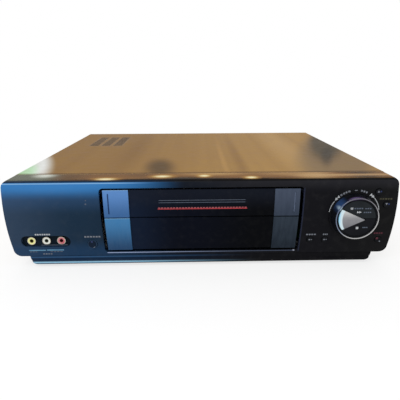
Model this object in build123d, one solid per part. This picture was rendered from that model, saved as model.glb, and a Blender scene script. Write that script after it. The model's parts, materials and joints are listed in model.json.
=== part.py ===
from build123d import *
from math import cos, radians, sin, sqrt, tan
import os

# Video cassette recorder, front loading. Lengths in millimetres.
# X runs to the right seen from the front, Y to the rear, Z up from the floor.
# Inside the functions y is measured back from the front face of the fascia.

# Outer sizes
FASCIA_W = 382.0
FASCIA_D = 21.0
CABINET_H = 95.0
CABINET_D = 289.5
COVER_STEP = 5.0
COVER_W = FASCIA_W - 2 * COVER_STEP
COVER_T = 0.8
COVER_EDGE_R = 2.5
COVER_BOTTOM_Z = 9.0
SEAM = 0.4
DIAL_PROUD = 9.5
SOCKET_PROUD = 9.0
FRONT_Y = -(CABINET_D + SOCKET_PROUD - DIAL_PROUD) / 2

# Clearances
RUN_FIT = 0.08
GAP = 0.3

# Fascia
WALL = 2.5
FACE_R = 260.0
FACE_STRAIGHT_H = 15.0
FACE_TANGENT_Z = CABINET_H - FACE_STRAIGHT_H
SHELF_FALL = 1.2
SHELF_FLAT = 2.0
SHELF_EDGE_R = 4.0
INNER_EDGE_R = 0.5
FASCIA_BOTTOM_Z = 12.3
FASCIA_TOP_CORNER_R = 8.0
FASCIA_LOW_CORNER_R = 7.0
FASCIA_SIDE_BOW = 1.6
RIM_T = 2.3
PLINTH_IN = 15.5
PLINTH_W = FASCIA_W - 2 * PLINTH_IN
PLINTH_CORNER_R = 9.0
PLINTH_H = 9.0
PLINTH_FRONT_Y = 8.0
PLINTH_LIP_R = 1.2
PLINTH_NECK = 0.6

# Chassis
FOOT_R = 9.0
FOOT_EDGE = 1.0
FOOT_IN = 33.0
FOOT_FRONT_Y = 42.0
FOOT_REAR_Y = 262.0
PAN_Z = 6.0
PAN_T = 1.2
PAN_RIM_H = 12.0
REAR_PANEL_T = 1.2
REAR_INSET = 1.3
SIDE_SCREW_FRONT_Y = 72.0
SIDE_SCREW_REAR_Y = 236.0
SIDE_SCREW_Z = 14.0
SCREW_HEAD_R = 3.4
SCREW_HEAD_T = 1.8
SCREW_R = 1.5
SCREW_L = 5.0
CROSS_HALF_L = 2.4
CROSS_HALF_W = 0.4

# Door zone of the fascia
DOOR_X = 0.0
DOOR_W = 190.0
DOOR_SIDE_GAP = 3.5
DOOR_LINTEL_H = 8.8
DOOR_OPEN_TOP_Z = CABINET_H - DOOR_LINTEL_H
DOOR_SILL_H = 4.0
DOOR_OPEN_LOW_Z = FASCIA_BOTTOM_Z + DOOR_SILL_H
DOOR_CORNER_R = 4.0
PANEL_SET_BACK = 1.4
PANEL_T = 3.0
CAP_T = 1.2
CAP_W = 24.4
CAP_GROOVE_W = 1.2
CAP_GROOVE_T = 0.7
CAP_GROOVE_IN = 4.8
CAP_GROOVE_END = 3.5
FLAP_TOP_GAP = 2.0
FLAP_TOP_Z = DOOR_OPEN_TOP_Z - FLAP_TOP_GAP
FLAP_H = 28.0
FLAP_LOW_Z = FLAP_TOP_Z - FLAP_H
FLAP_AXIS_DROP = 2.0
FLAP_AXIS_Z = FLAP_TOP_Z - FLAP_AXIS_DROP
FLAP_AXIS_Y = 4.2
FLAP_PIN_R = 1.2
FLAP_PIN_L = 3.4
FLAP_LUG_END = 1.0
FLAP_TO_WINDOW = 1.1
WINDOW_TOP_Z = FLAP_LOW_Z - FLAP_TO_WINDOW
WINDOW_TO_SILL = 2.4
WINDOW_LOW_Z = DOOR_OPEN_LOW_Z + WINDOW_TO_SILL

# Boards behind the fascia
BOARD_Y = 17.0
BOARD_T = 1.6
BOARD_LIFT = 1.0
BOARD_TO_FLAP = 2.0
BOARD_TO_LUG = 2.0
BOARD_TO_ROOF = 3.0
SWITCH_W = 4.6
SWITCH_D = 3.4
PLUNGER_R = 1.2
PLUNGER_L = 1.0
VFD_W = 118.0
VFD_H = 20.0
VFD_T = 5.0
VFD_CORNER_R = 1.5
VFD_Z = (WINDOW_TOP_Z + WINDOW_LOW_Z) / 2

# Front buttons
BUTTON_TRAVEL = 0.8
BUTTON_PROUD = 0.8
BUTTON_FLANGE = 1.1
BUTTON_FLANGE_T = 0.8
BUTTON_DISH_D = 0.4
BUTTON_RIM = 0.5
STEM_R = 1.3
OPERATE_R = 4.6
OPERATE_TO_DOOR = 11.4
OPERATE_Z = 26.9
SMALL_R = 3.2
MENU_TO_DOOR = 14.1
MENU_X = DOOR_X + DOOR_W / 2 + MENU_TO_DOOR
SET_PITCH = 15.0
SET_X = MENU_X + SET_PITCH
MENU_Z = 28.7
CHANNEL_UP_IN = 20.0
CHANNEL_UP_DROP = 14.8
CHANNEL_UP_X = FASCIA_W / 2 - CHANNEL_UP_IN
CHANNEL_UP_Z = CABINET_H - CHANNEL_UP_DROP
CHANNEL_DOWN_IN = 10.8
CHANNEL_DOWN_DROP = 27.8
CHANNEL_DOWN_X = FASCIA_W / 2 - CHANNEL_DOWN_IN
CHANNEL_DOWN_Z = CABINET_H - CHANNEL_DOWN_DROP
RECORD_IN = 12.4
RECORD_X = FASCIA_W / 2 - RECORD_IN
RECORD_Z = 28.1

# Dial: a sprung ring turning round a fixed core that holds three keys
DIAL_IN = 42.3
DIAL_DROP = 38.8
DIAL_X = FASCIA_W / 2 - DIAL_IN
DIAL_Z = CABINET_H - DIAL_DROP
DIAL_SEAT_R = 24.0
DIAL_SEAT_PROUD = 0.8
DIAL_SEAT_BACK_Y = 8.0
CORE_R = 18.9
CORE_SET_DOWN = 0.9
CORE_POCKET_D = 5.0
SLEEVE_T = 1.3
SKIRT_BASE_R = 22.8
SKIRT_TOP_R = 21.0
TRIM_T = 0.9
TRIM_W = 0.8
TRIM_IN = 0.2
RING_LIP = 1.0
RING_LIP_T = 0.9
KEY_EDGE = 1.0
KEY_GAP = 0.35
KEY_T = 3.6
KEY_STEM_IN = 1.0
PLAY_TIP_X = 7.6
PLAY_HALF_DEG = 25.0
PLAY_DROP = 1.3
PLAY_PROUD = 0.6
PLAY_STEM_X = -9.4
SIDE_STEM_X = 4.7
SIDE_STEM_Z = 10.9

# Front sockets
JACK_PITCH = 14.8
JACK_IN = 35.2
JACK_MID_X = -FASCIA_W / 2 + JACK_IN
JACK_Z = 30.2
JACK_R = 4.15
JACK_SHELL_T = 0.55
JACK_BORE_R = 1.65
JACK_L = 9.0
JACK_INSERT_SET = 0.2
JACK_INSERT_FLOOR = 0.6
JACK_RECESS_W = 49.0
JACK_RECESS_H = 12.8
JACK_RECESS_FLOOR_Y = 8.0
JACK_OUT = 1.6

# Vents over the power supply
VENT_IN = 53.5
VENT_X = -COVER_W / 2 + VENT_IN
VENT_FROM_REAR = 75.0
VENT_Y = CABINET_D - VENT_FROM_REAR
VENT_SLOT_W = 12.6
VENT_SLOT_H = 2.2
VENT_COLUMN_PITCH = 16.5
VENT_ROW_PITCH = 4.6
VENT_COLUMNS = 3
VENT_ROWS = 16

# Tape deck
DECK_Z = 28.0
DECK_T = 1.5
DECK_HALF_W = 99.2
DECK_FRONT_Y = 34.0
DECK_REAR_Y = 272.0
DECK_LEG_R = 4.0
DECK_LEG_IN = 9.0

# Cassette carriage
CASSETTE_W = 188.0
CASSETTE_H = 25.0
CASSETTE_SIDE_GAP = 0.7
CASSETTE_TOP_GAP = 1.0
HOLDER_T = 0.8
HOLDER_Y = 34.5
HOLDER_D = 79.5
HOLDER_BELOW_FLAP = 0.2
HOLDER_LOW_Z = FLAP_LOW_Z - HOLDER_BELOW_FLAP
HOLDER_LIP_W = 13.0
HOLDER_DROP = 22.0
CARRIAGE_TRAVEL = 45.0
SLIDER_T = 1.0
SLIDER_GAP = 0.9
SLIDER_Y = 42.0
SLIDER_D = 46.0
SLIDER_PIN_Z = FLAP_TOP_Z
SLIDER_OVER_PIN = 4.4
SLIDER_TOP_Z = SLIDER_PIN_Z + SLIDER_OVER_PIN
SLIDER_BAR_D = 14.0
FRAME_GAP = 0.6
FRAME_D = 118.0
FRAME_OVER_SLIDER = 1.2
FRAME_TOP_Z = SLIDER_TOP_Z + FRAME_OVER_SLIDER
FRAME_EDGE = 12.0
GUIDE_PIN_R = 1.5
GUIDE_PIN_IN = 9.0
HOLDER_PIN_DROP = 8.0
HOLDER_PIN_SHORT = 0.1

# Tape path on the deck; x here is measured from the middle of the deck
REEL_X = 46.0
REEL_Y = 122.0
REEL_DISC_R = 17.0
REEL_DISC_T = 3.0
REEL_HUB_R = 6.0
REEL_HUB_TOP_Z = 45.0
REEL_SPLINE = 1.6
REEL_LIFT = 0.8
REEL_HUB_EDGE = 1.5
REEL_FIN_T = 1.2
REEL_FIN_DOWN = 3.0
REEL_FINS = 3
POST_R = 1.6
POST_SHORT = 1.0
DRUM_Y = 226.0
DRUM_R = 31.0
DRUM_TILT_DEG = 5.7
DRUM_BASE_Z = 34.0
DRUM_LOWER_H = 16.0
DRUM_UPPER_H = 17.0
DRUM_SHAFT_R = 3.0
DRUM_PEDESTAL_R = 20.0
ROTOR_R = 21.0
ROTOR_H = 5.0
DRUM_GROOVE_D = 3.0
DRUM_RIM_W = 6.0
DRUM_HUB_R = 13.0
HEADS = 6
HEAD_W = 3.0
HEAD_H = 2.2
HEAD_D = 4.0
HEAD_START_DEG = 30.0
GUIDE_R = 43.0
GUIDE_REST_DEG = 24.0
GUIDE_SWING_DEG = 75.0
GUIDE_PAD_R = 5.5
GUIDE_PAD_T = 4.0
GUIDE_PEG_R = 2.0
GUIDE_ROLLER_R = 2.8
GUIDE_ROLLER_H = 22.0
GUIDE_TOP_Z = 62.0
GUIDE_PEG_DOWN = 2.0
GUIDE_CLIP_T = 2.7
GUIDE_EDGE = 1.0
GUIDE_CAP_H = 2.0
CAPSTAN_X = 50.0
CAPSTAN_Y = 196.0
CAPSTAN_R = 1.5
CAPSTAN_TOP_Z = 64.0
CAPSTAN_TUBE_R = 4.0
CAPSTAN_FLANGE_R = 8.0
CAPSTAN_FLANGE_T = 2.0
CAPSTAN_TUBE_TOP_Z = 38.0
FLYWHEEL_R = 24.0
FLYWHEEL_Z = 15.4
FLYWHEEL_H = 7.6
PULLEY_Z = 11.6
PULLEY_H = 3.4
CAPSTAN_PULLEY_R = 8.0
CLUTCH_X = 0.0
CLUTCH_Y = 98.0
CLUTCH_PULLEY_R = 12.0
CLUTCH_SHAFT_R = 2.0
CLUTCH_GEAR_R = 9.0
CLUTCH_GEAR_T = 3.0
CLUTCH_SHAFT_UP = 2.0
BELT_T = 1.0
BELT_W = 2.2
PINCH_PIVOT_X = 78.0
PINCH_PIVOT_Y = 188.0
PINCH_PIVOT_R = 2.0
PINCH_HUB_R = 4.5
PINCH_HUB_DOWN = 2.0
PINCH_PIVOT_UP = 1.0
PINCH_ARM_Z = 33.0
PINCH_ARM_T = 2.0
PINCH_REACH = 26.0
PINCH_CLOSED_DEG = 181.5
PINCH_SWING_DEG = 30.0
PINCH_ROLLER_R = 7.0
PINCH_ROLLER_Z = 39.5
PINCH_ROLLER_H = 19.0
ERASE_HEAD_X = -60.0
ERASE_HEAD_Y = 198.0
SOUND_HEAD_X = 57.0
SOUND_HEAD_Y = 214.0
TAPE_HEAD_W = 10.0
TAPE_HEAD_D = 7.0
TAPE_HEAD_TOP_Z = 58.0
TAPE_HEAD_FOOT_H = 8.0

# Boards and modules beside the deck
INNER_BOARD_Z = 18.0
BOARD_TO_DECK = 4.8
BOARD_TO_PAN = 1.2
MAIN_BOARD_FRONT_Y = 32.0
BOARD_REAR_GAP = 5.0
POWER_BOARD_L = 132.0
STANDOFF_R = 3.0
STANDOFF_IN = 6.0
TRANSFORMER_W = 46.0
TRANSFORMER_Y = 206.0
TRANSFORMER_D = 15.0
TRANSFORMER_SHIFT = 8.0
TRANSFORMER_H = 34.0
COIL_D = 44.0
COIL_W = 24.0
COIL_H = 22.0
COIL_R = 3.0
SINK_Y = 206.0
SINK_L = 60.0
SINK_T = 2.0
SINK_H = 36.0
SINK_FINS = 7
SINK_FIN_L = 9.0
POWER_CAP_R = 8.0
POWER_CAP_H = 28.0
POWER_CAP_Y = 17.0
POWER_CAP_PITCH = 20.0
POWER_CAP_SHIFT = 12.0
SMALL_CAP_R = 4.0
SMALL_CAP_H = 12.0
SMALL_CAP_PITCH = 12.5
SMALL_CAP_REAR_Y = 22.0
SMALL_CAP_SHIFT = 16.4
CAN_EDGE = 0.5
MAIN_CAP_FROM_FRONT = (16.0, 180.0)
MAIN_ROW_OUT = 19.0
CHIP_W = 14.0
CHIP_L = 30.0
CHIP_T = 3.4
CHIP_STAND = 0.6
CHIP_PIN_PITCH = 5.0
CHIP_PINS = 5
CHIP_FROM_FRONT = (40.0, 70.0, 110.0, 150.0)
CHIP_PIN_HALF_L = 1.0
CHIP_PIN_HALF_W = 0.4
CHIP_PIN_UP = 1.0
JACK_BOARD_RISE = 16.0
TUNER_IN = 6.0
TUNER_D = 44.0
TUNER_H = 18.0
TUNER_LIFT = 20.0
TUNER_LEG_IN = 3.0
TUNER_LEG_FRONT = 4.0
TUNER_LEG_HALF_W = 1.5
TUNER_LEG_HALF_T = 0.5
SOCKET_R = 4.75
SOCKET_BORE_R = 1.4
SOCKET_PITCH = 24.0
SOCKET_SEAT = 6.0
SOCKET_WALL = 0.8
SOCKET_CORE_WALL = 1.0
SOCKET_CORE_IN = 1.0
SOCKET_CORE_SEAT = 0.5
SOCKET_NUT_R = 7.0
SOCKET_NUT_T = 1.6
REAR_JACK_X = 40.0
REAR_JACK_Z = 56.0
REAR_JACK_PITCH = 15.0
REAR_JACK_COLUMNS = 3
REAR_JACK_ROWS = 2
REAR_JACK_PROUD = 8.0
REAR_JACK_BLOCK_D = 10.0
REAR_JACK_DEEP = 4.0
INLET_SHIFT = 8.0
INLET_Z = 50.0
INLET_W = 26.0
INLET_H = 16.0
INLET_DEPTH = 20.0
INLET_PROUD = 1.2
INLET_WELL = 12.0
INLET_PIN_R = 1.2
INLET_PIN_PITCH = 8.6
INLET_CORNER_R = 2.0
INLET_FLANGE = 3.0
INLET_FLANGE_T = 2.0
INLET_PIN_IN = 2.0
INLET_WELL_EDGE = 0.4

# Levels and planes that follow from the sizes above
PINCH_REST_DEG = PINCH_CLOSED_DEG + PINCH_SWING_DEG
PLINTH_BOTTOM_Z = FASCIA_BOTTOM_Z - PLINTH_H
OPENING_HALF_W = DOOR_W / 2 + DOOR_SIDE_GAP
OPENING_LEFT = DOOR_X - OPENING_HALF_W
OPERATE_X = OPENING_LEFT - OPERATE_TO_DOOR
DECK_TOP_Z = DECK_Z + DECK_T
PAN_TOP_Z = PAN_Z + PAN_T
COVER_Y = FASCIA_D + SEAM
PAN_HALF_W = COVER_W / 2 - COVER_T - GAP
REAR_PANEL_Y = CABINET_D - REAR_INSET - REAR_PANEL_T
SWITCH_TIP_Y = BOARD_Y - SWITCH_D - PLUNGER_L
STEM_END_Y = SWITCH_TIP_Y - BUTTON_TRAVEL - GAP
HOLDER_HALF_W = CASSETTE_W / 2 + CASSETTE_SIDE_GAP + HOLDER_T
HOLDER_TOP_Z = HOLDER_LOW_Z + CASSETTE_H + CASSETTE_TOP_GAP + 2 * HOLDER_T
SLIDER_IN = HOLDER_HALF_W + SLIDER_GAP
SLIDER_OUT = SLIDER_IN + SLIDER_T
FRAME_IN = SLIDER_OUT + FRAME_GAP
HOLDER_PIN_Z = HOLDER_TOP_Z - HOLDER_PIN_DROP
SLIDER_LOW_Z = HOLDER_PIN_Z - HOLDER_DROP - HOLDER_PIN_DROP
FOOT_X = PAN_HALF_W - FOOT_IN
BOARD_TOP_Z = INNER_BOARD_Z + BOARD_T
BOARD_OUT = PAN_HALF_W - PAN_T - BOARD_TO_PAN
MAIN_BOARD_W = BOARD_OUT - DOOR_X - DECK_HALF_W - BOARD_TO_DECK
MAIN_BOARD_X = BOARD_OUT - MAIN_BOARD_W / 2
MAIN_BOARD_REAR_Y = REAR_PANEL_Y - BOARD_REAR_GAP
POWER_BOARD_W = BOARD_OUT + DOOR_X - DECK_HALF_W - BOARD_TO_DECK
POWER_BOARD_X = POWER_BOARD_W / 2 - BOARD_OUT
POWER_BOARD_FRONT_Y = MAIN_BOARD_REAR_Y - POWER_BOARD_L
TRANSFORMER_X = POWER_BOARD_X - TRANSFORMER_SHIFT
SINK_X = POWER_BOARD_X + POWER_BOARD_W / 2 - SINK_FIN_L - SINK_T - BOARD_TO_DECK
INLET_X = POWER_BOARD_X - INLET_SHIFT
TUNER_W = MAIN_BOARD_W - 2 * TUNER_IN
TUNER_X = MAIN_BOARD_X
CORE_FRONT_Y = -DIAL_PROUD + CORE_SET_DOWN


def box(x0, x1, y0, y1, z0, z1):
    middle = Pos((x0 + x1) / 2, FRONT_Y + (y0 + y1) / 2, (z0 + z1) / 2)
    return middle * Box(x1 - x0, y1 - y0, z1 - z0)


def upright(x, y, z0, z1, r):
    return Pos(x, FRONT_Y + y, (z0 + z1) / 2) * Cylinder(r, z1 - z0)


def lengthwise(x, z, y0, y1, r):
    return Pos(x, FRONT_Y + (y0 + y1) / 2, z) * Rot(90, 0, 0) * Cylinder(r, y1 - y0)


def crosswise(x0, x1, y, z, r):
    return Pos((x0 + x1) / 2, FRONT_Y + y, z) * Rot(0, 90, 0) * Cylinder(r, x1 - x0)


def facing(x, z, y0, y1, sketch):
    """Extrudes a sketch drawn as seen from the front, from y0 back to y1."""
    seat = Plane(origin=(x, FRONT_Y + y1, z), x_dir=(1, 0, 0), z_dir=(0, -1, 0))
    return extrude(seat * sketch, amount=y1 - y0)


def face_y(z):
    """How far the curved front face has fallen back at height z."""
    drop = max(FACE_TANGENT_Z - z, 0)
    return FACE_R - sqrt(FACE_R**2 - drop**2)


def save(name, shape):
    export_step(shape, f"parts/{name}.step")


# Fascia


def fascia_profile(inset, back):
    """Side view of the fascia in y and z, a wall of `inset` inside the outer face.

    It runs past the fascia's bottom, which the front outline then cuts."""
    low = FASCIA_BOTTOM_Z - WALL
    r = FACE_R - inset
    fall = FACE_TANGENT_Z - low
    slope = SHELF_FALL / (FASCIA_D - SHELF_FLAT)
    rise = CABINET_H - SHELF_FALL - inset
    corner = (inset, rise + slope * inset)
    tangent = (inset, FACE_TANGENT_Z)
    middle = (FACE_R - sqrt(r**2 - (fall / 2) ** 2), FACE_TANGENT_Z - fall / 2)
    bottom = (FACE_R - sqrt(r**2 - fall**2), low)
    top = (back, rise + slope * back)
    edges = [
        Line(top, corner),
        Line(corner, tangent),
        ThreePointArc(tangent, middle, bottom),
        Line(bottom, (back, low)),
        Line((back, low), top),
    ]
    profile = make_face(Wire(edges))
    nose = profile.vertices().sort_by_distance(Vertex(*corner, 0))[0]
    return fillet(nose, max(SHELF_EDGE_R - inset, INNER_EDGE_R))


def bowed_outline(half, low, high):
    """Front outline with straight top and bottom and sides that bow outward."""
    end = half - FASCIA_SIDE_BOW
    middle = (low + high) / 2
    edges = [
        Line((-end, low), (end, low)),
        ThreePointArc((end, low), (half, middle), (end, high)),
        Line((end, high), (-end, high)),
        ThreePointArc((-end, high), (-half, middle), (-end, low)),
    ]
    return make_face(Wire(edges))


def fascia_body(inset, back):
    """The fascia's solid outline, or the hollow inside it for an inset of the wall."""
    width = FASCIA_W - 2 * inset
    profile = fascia_profile(inset, back)
    body = extrude(Plane.YZ * Pos(FRONT_Y, 0) * profile, amount=width / 2, both=True)
    outline = bowed_outline(width / 2, FASCIA_BOTTOM_Z + inset, CABINET_H - inset)
    rows = outline.vertices().group_by(Axis.Y)
    outline = fillet(rows[0], FASCIA_LOW_CORNER_R - inset)
    rows = outline.vertices().group_by(Axis.Y)
    outline = fillet(rows[-1], FASCIA_TOP_CORNER_R - inset)
    return body & facing(0, 0, -WALL, back + WALL, outline)


def plinth_body(inset):
    """The plinth under the fascia: a recessed neck above a rounded lip."""
    low = PLINTH_BOTTOM_Z + inset
    high = FASCIA_BOTTOM_Z + WALL / 2
    toe = PLINTH_FRONT_Y + inset
    back = FASCIA_D if inset == 0 else FASCIA_D + WALL
    knee = low + 2 * PLINTH_LIP_R
    root = face_y(FASCIA_BOTTOM_Z) + PLINTH_NECK + inset
    neck = knee + root - toe
    points = [(toe, low), (back, low), (back, high), (root, high), (root, neck), (toe, knee)]
    profile = make_face(Polyline(*points, close=True))
    nose = profile.vertices().sort_by_distance(Vertex(toe, low, 0))[0]
    profile = fillet(nose, PLINTH_LIP_R)
    half = PLINTH_W / 2 - inset
    body = extrude(Plane.YZ * Pos(FRONT_Y, 0) * profile, amount=half, both=True)
    outline = Pos(0, (low + high) / 2) * Rectangle(2 * half, high - low)
    outline = fillet(outline.vertices().group_by(Axis.Y)[0], PLINTH_CORNER_R - inset)
    return body & facing(0, 0, -WALL, back + WALL, outline)


def button_hole(x, z, r):
    return lengthwise(x, z, -WALL, BOARD_Y, r + GAP)


def jack_recess(grow):
    return SlotOverall(JACK_RECESS_W + 2 * grow, JACK_RECESS_H + 2 * grow)


def front_panel():
    hollow = fascia_body(WALL, FASCIA_D + WALL)
    shell = fascia_body(0, FASCIA_D) - hollow
    shell += plinth_body(0) - plinth_body(WALL)
    rim_half = COVER_W / 2 - COVER_T
    rim = box(-FASCIA_W / 2, FASCIA_W / 2, FASCIA_D - RIM_T, FASCIA_D, 0, CABINET_H)
    rim_hole_top = CABINET_H - COVER_T - WALL
    rim -= box(-rim_half, rim_half, 0, CABINET_D, FASCIA_BOTTOM_Z + WALL, rim_hole_top)
    shell += rim & fascia_body(0, FASCIA_D)
    solid = fascia_body(0, FASCIA_D)
    shell += lengthwise(DIAL_X, DIAL_Z, -DIAL_SEAT_PROUD, DIAL_SEAT_BACK_Y, DIAL_SEAT_R)
    recess_back = JACK_RECESS_FLOOR_Y + WALL
    block = facing(JACK_MID_X, JACK_Z, 0, recess_back, jack_recess(WALL)) & solid
    shell += block
    for side in (-1, 1):
        inner = DOOR_X + side * OPENING_HALF_W
        outer = inner + side * (FLAP_PIN_L + FLAP_LUG_END)
        lug_back = FLAP_AXIS_Y + FLAP_PIN_R + WALL
        low_z = FLAP_AXIS_Z - FLAP_PIN_R - WALL
        x0, x1 = min(inner, outer), max(inner, outer)
        shell += box(x0, x1, WALL / 2, lug_back, low_z, FLAP_AXIS_Z + FLAP_PIN_R + WALL)
    opening_w = 2 * OPENING_HALF_W
    opening_h = DOOR_OPEN_TOP_Z - DOOR_OPEN_LOW_Z
    opening_z = (DOOR_OPEN_TOP_Z + DOOR_OPEN_LOW_Z) / 2
    opening = RectangleRounded(opening_w, opening_h, DOOR_CORNER_R)
    shell -= facing(DOOR_X, opening_z, -WALL, BOARD_Y, opening)
    pin_reach = OPENING_HALF_W + FLAP_PIN_L + GAP
    pin_hole_r = FLAP_PIN_R + RUN_FIT
    for x0 in (DOOR_X - pin_reach, DOOR_X):
        shell -= crosswise(x0, x0 + pin_reach, FLAP_AXIS_Y, FLAP_AXIS_Z, pin_hole_r)
    shell -= facing(JACK_MID_X, JACK_Z, -WALL, JACK_RECESS_FLOOR_Y, jack_recess(0))
    for x in jack_xs():
        shell -= lengthwise(x, JACK_Z, 0, BOARD_Y, JACK_R + RUN_FIT)
    ring_hole = CORE_R + RUN_FIT + SLEEVE_T + GAP
    shell -= lengthwise(DIAL_X, DIAL_Z, -DIAL_PROUD, BOARD_Y, ring_hole)
    for x, z, r in button_places():
        shell -= button_hole(x, z, r)
    return shell


def jack_xs():
    return [JACK_MID_X + JACK_PITCH * i for i in (-1, 0, 1)]


def button_places():
    return [
        (OPERATE_X, OPERATE_Z, OPERATE_R),
        (MENU_X, MENU_Z, SMALL_R),
        (SET_X, MENU_Z, SMALL_R),
        (CHANNEL_UP_X, CHANNEL_UP_Z, SMALL_R),
        (CHANNEL_DOWN_X, CHANNEL_DOWN_Z, SMALL_R),
        (RECORD_X, RECORD_Z, SMALL_R),
    ]


def button(x, z, r):
    """A round cap with a flange behind the wall and a stem to its switch."""
    front = face_y(z) - BUTTON_PROUD
    flange_r = r + BUTTON_FLANGE
    flange_y = face_y(z - flange_r) + WALL + GAP
    cap = lengthwise(x, z, front, flange_y + BUTTON_FLANGE_T, r)
    flange = lengthwise(x, z, flange_y, flange_y + BUTTON_FLANGE_T, flange_r)
    stem = lengthwise(x, z, flange_y, STEM_END_Y, STEM_R)
    dish_r = ((r - BUTTON_RIM) ** 2 / BUTTON_DISH_D + BUTTON_DISH_D) / 2
    dish = Pos(x, FRONT_Y + front + BUTTON_DISH_D - dish_r, z) * Sphere(dish_r)
    return cap + flange + stem - dish


# Door zone


def face_sheet(set_back, thick, x0, x1, z0, z1):
    """A sheet that follows the curved face, set back from it."""
    deep = FASCIA_D + CABINET_D
    outer = fascia_profile(set_back, deep)
    inner = fascia_profile(set_back + thick, deep)
    sheet = extrude(Plane.YZ * Pos(FRONT_Y, 0) * (outer - inner), amount=x1 - x0)
    return Pos(x0, 0, 0) * sheet & box(x0, x1, -WALL, FASCIA_D, z0, z1)


def end_caps(z0, z1, grooved):
    half = DOOR_W / 2
    caps = []
    for side in (-1, 1):
        outer = DOOR_X + side * half
        inner = outer - side * CAP_W
        x0, x1 = min(inner, outer), max(inner, outer)
        cap = face_sheet(PANEL_SET_BACK - CAP_T, CAP_T, x0, x1, z0, z1)
        if grooved:
            middle = outer - side * CAP_GROOVE_IN
            g0, g1 = middle - CAP_GROOVE_W / 2, middle + CAP_GROOVE_W / 2
            depth = PANEL_SET_BACK - CAP_T + CAP_GROOVE_T
            low, high = z0 + CAP_GROOVE_END, z1 - CAP_GROOVE_END
            cap -= face_sheet(PANEL_SET_BACK - 2 * CAP_T, CAP_T + CAP_GROOVE_T, g0, g1, low, high)
        caps.append(cap)
    return Compound(children=caps)


def display_window():
    half = DOOR_W / 2
    x0, x1 = DOOR_X - half, DOOR_X + half
    return face_sheet(PANEL_SET_BACK, PANEL_T, x0, x1, WINDOW_LOW_Z, WINDOW_TOP_Z)


def cassette_flap():
    half = DOOR_W / 2
    x0, x1 = DOOR_X - half, DOOR_X + half
    flap = face_sheet(PANEL_SET_BACK, PANEL_T, x0, x1, FLAP_LOW_Z, FLAP_TOP_Z)
    for side in (-1, 1):
        end = DOOR_X + side * half
        tip = DOOR_X + side * (OPENING_HALF_W + FLAP_PIN_L)
        root = end - side * CAP_W / 2
        flap += crosswise(min(root, tip), max(root, tip), FLAP_AXIS_Y, FLAP_AXIS_Z, FLAP_PIN_R)
    return flap


# Boards behind the fascia


def display_board():
    half = DOOR_W / 2 - WALL
    return box(DOOR_X - half, DOOR_X + half, BOARD_Y, BOARD_Y + BOARD_T,
               FASCIA_BOTTOM_Z + WALL + BOARD_LIFT, WINDOW_TOP_Z - BOARD_TO_FLAP)


def vfd_tube():
    sketch = RectangleRounded(VFD_W, VFD_H, VFD_CORNER_R)
    return facing(DOOR_X, VFD_Z, BOARD_Y - VFD_T, BOARD_Y, sketch)


def control_board():
    low = FASCIA_BOTTOM_Z + WALL + BOARD_LIFT
    high = CABINET_H - COVER_T - WALL - BOARD_TO_ROOF
    right = COVER_W / 2 - COVER_T - WALL
    left = DOOR_X + OPENING_HALF_W + FLAP_PIN_L + BOARD_TO_LUG
    return box(left, right, BOARD_Y, BOARD_Y + BOARD_T, low, high)


def jack_board():
    low = FASCIA_BOTTOM_Z + WALL + BOARD_LIFT
    left = -COVER_W / 2 + COVER_T + WALL
    right = OPENING_LEFT - FLAP_PIN_L - BOARD_TO_LUG
    return box(left, right, BOARD_Y, BOARD_Y + BOARD_T, low, JACK_Z + JACK_BOARD_RISE)


def switch(x, z):
    half = SWITCH_W / 2
    body = box(x - half, x + half, BOARD_Y - SWITCH_D, BOARD_Y, z - half, z + half)
    return body + lengthwise(x, z, SWITCH_TIP_Y, BOARD_Y, PLUNGER_R)


def tact_switches():
    places = [(x, z) for x, z, r in button_places()]
    places += [(DIAL_X + x, DIAL_Z + z) for x, z in key_stems()]
    return Compound(children=[switch(x, z) for x, z in places])


# Front sockets


def jack_shells():
    front = JACK_RECESS_FLOOR_Y - JACK_OUT
    shells = []
    for x in jack_xs():
        shell = lengthwise(x, JACK_Z, front, front + JACK_L, JACK_R)
        shell -= lengthwise(x, JACK_Z, front, front + JACK_L, JACK_R - JACK_SHELL_T)
        shells.append(shell)
    return Compound(children=shells)


def jack_insert(x):
    front = JACK_RECESS_FLOOR_Y - JACK_OUT
    insert = lengthwise(x, JACK_Z, front + JACK_INSERT_SET, front + JACK_L, JACK_R - JACK_SHELL_T)
    return insert - lengthwise(x, JACK_Z, 0, front + JACK_L - JACK_INSERT_FLOOR, JACK_BORE_R)


# Dial


def dial_disc(y0, y1, r):
    return lengthwise(DIAL_X, DIAL_Z, y0, y1, r)


def key_area():
    return Circle(CORE_R - KEY_EDGE)


def play_area(grow):
    """The play key seen from the front: a pointer whose left edge follows the ring."""
    rise = tan(radians(PLAY_HALF_DEG)) * (PLAY_TIP_X + CORE_R)
    points = [(PLAY_TIP_X, 0), (-CORE_R, rise), (-CORE_R, -rise)]
    wedge = Pos(0, -PLAY_DROP) * make_face(Polyline(*points, close=True))
    if grow:
        wedge = offset(wedge, amount=grow, kind=Kind.INTERSECTION)
    return wedge


def key_stems():
    return [(PLAY_STEM_X, 0), (SIDE_STEM_X, SIDE_STEM_Z), (SIDE_STEM_X, -SIDE_STEM_Z)]


def dial_core():
    core = dial_disc(CORE_FRONT_Y, BOARD_Y, CORE_R)
    core -= dial_disc(CORE_FRONT_Y, CORE_FRONT_Y + CORE_POCKET_D, CORE_R - KEY_EDGE + KEY_GAP)
    core -= dial_disc(CORE_FRONT_Y + CORE_POCKET_D + WALL, BOARD_Y, CORE_R - WALL)
    for x, z in key_stems():
        hole_r = STEM_R + RUN_FIT
        core -= lengthwise(DIAL_X + x, DIAL_Z + z, CORE_FRONT_Y, BOARD_Y, hole_r)
    return core


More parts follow.
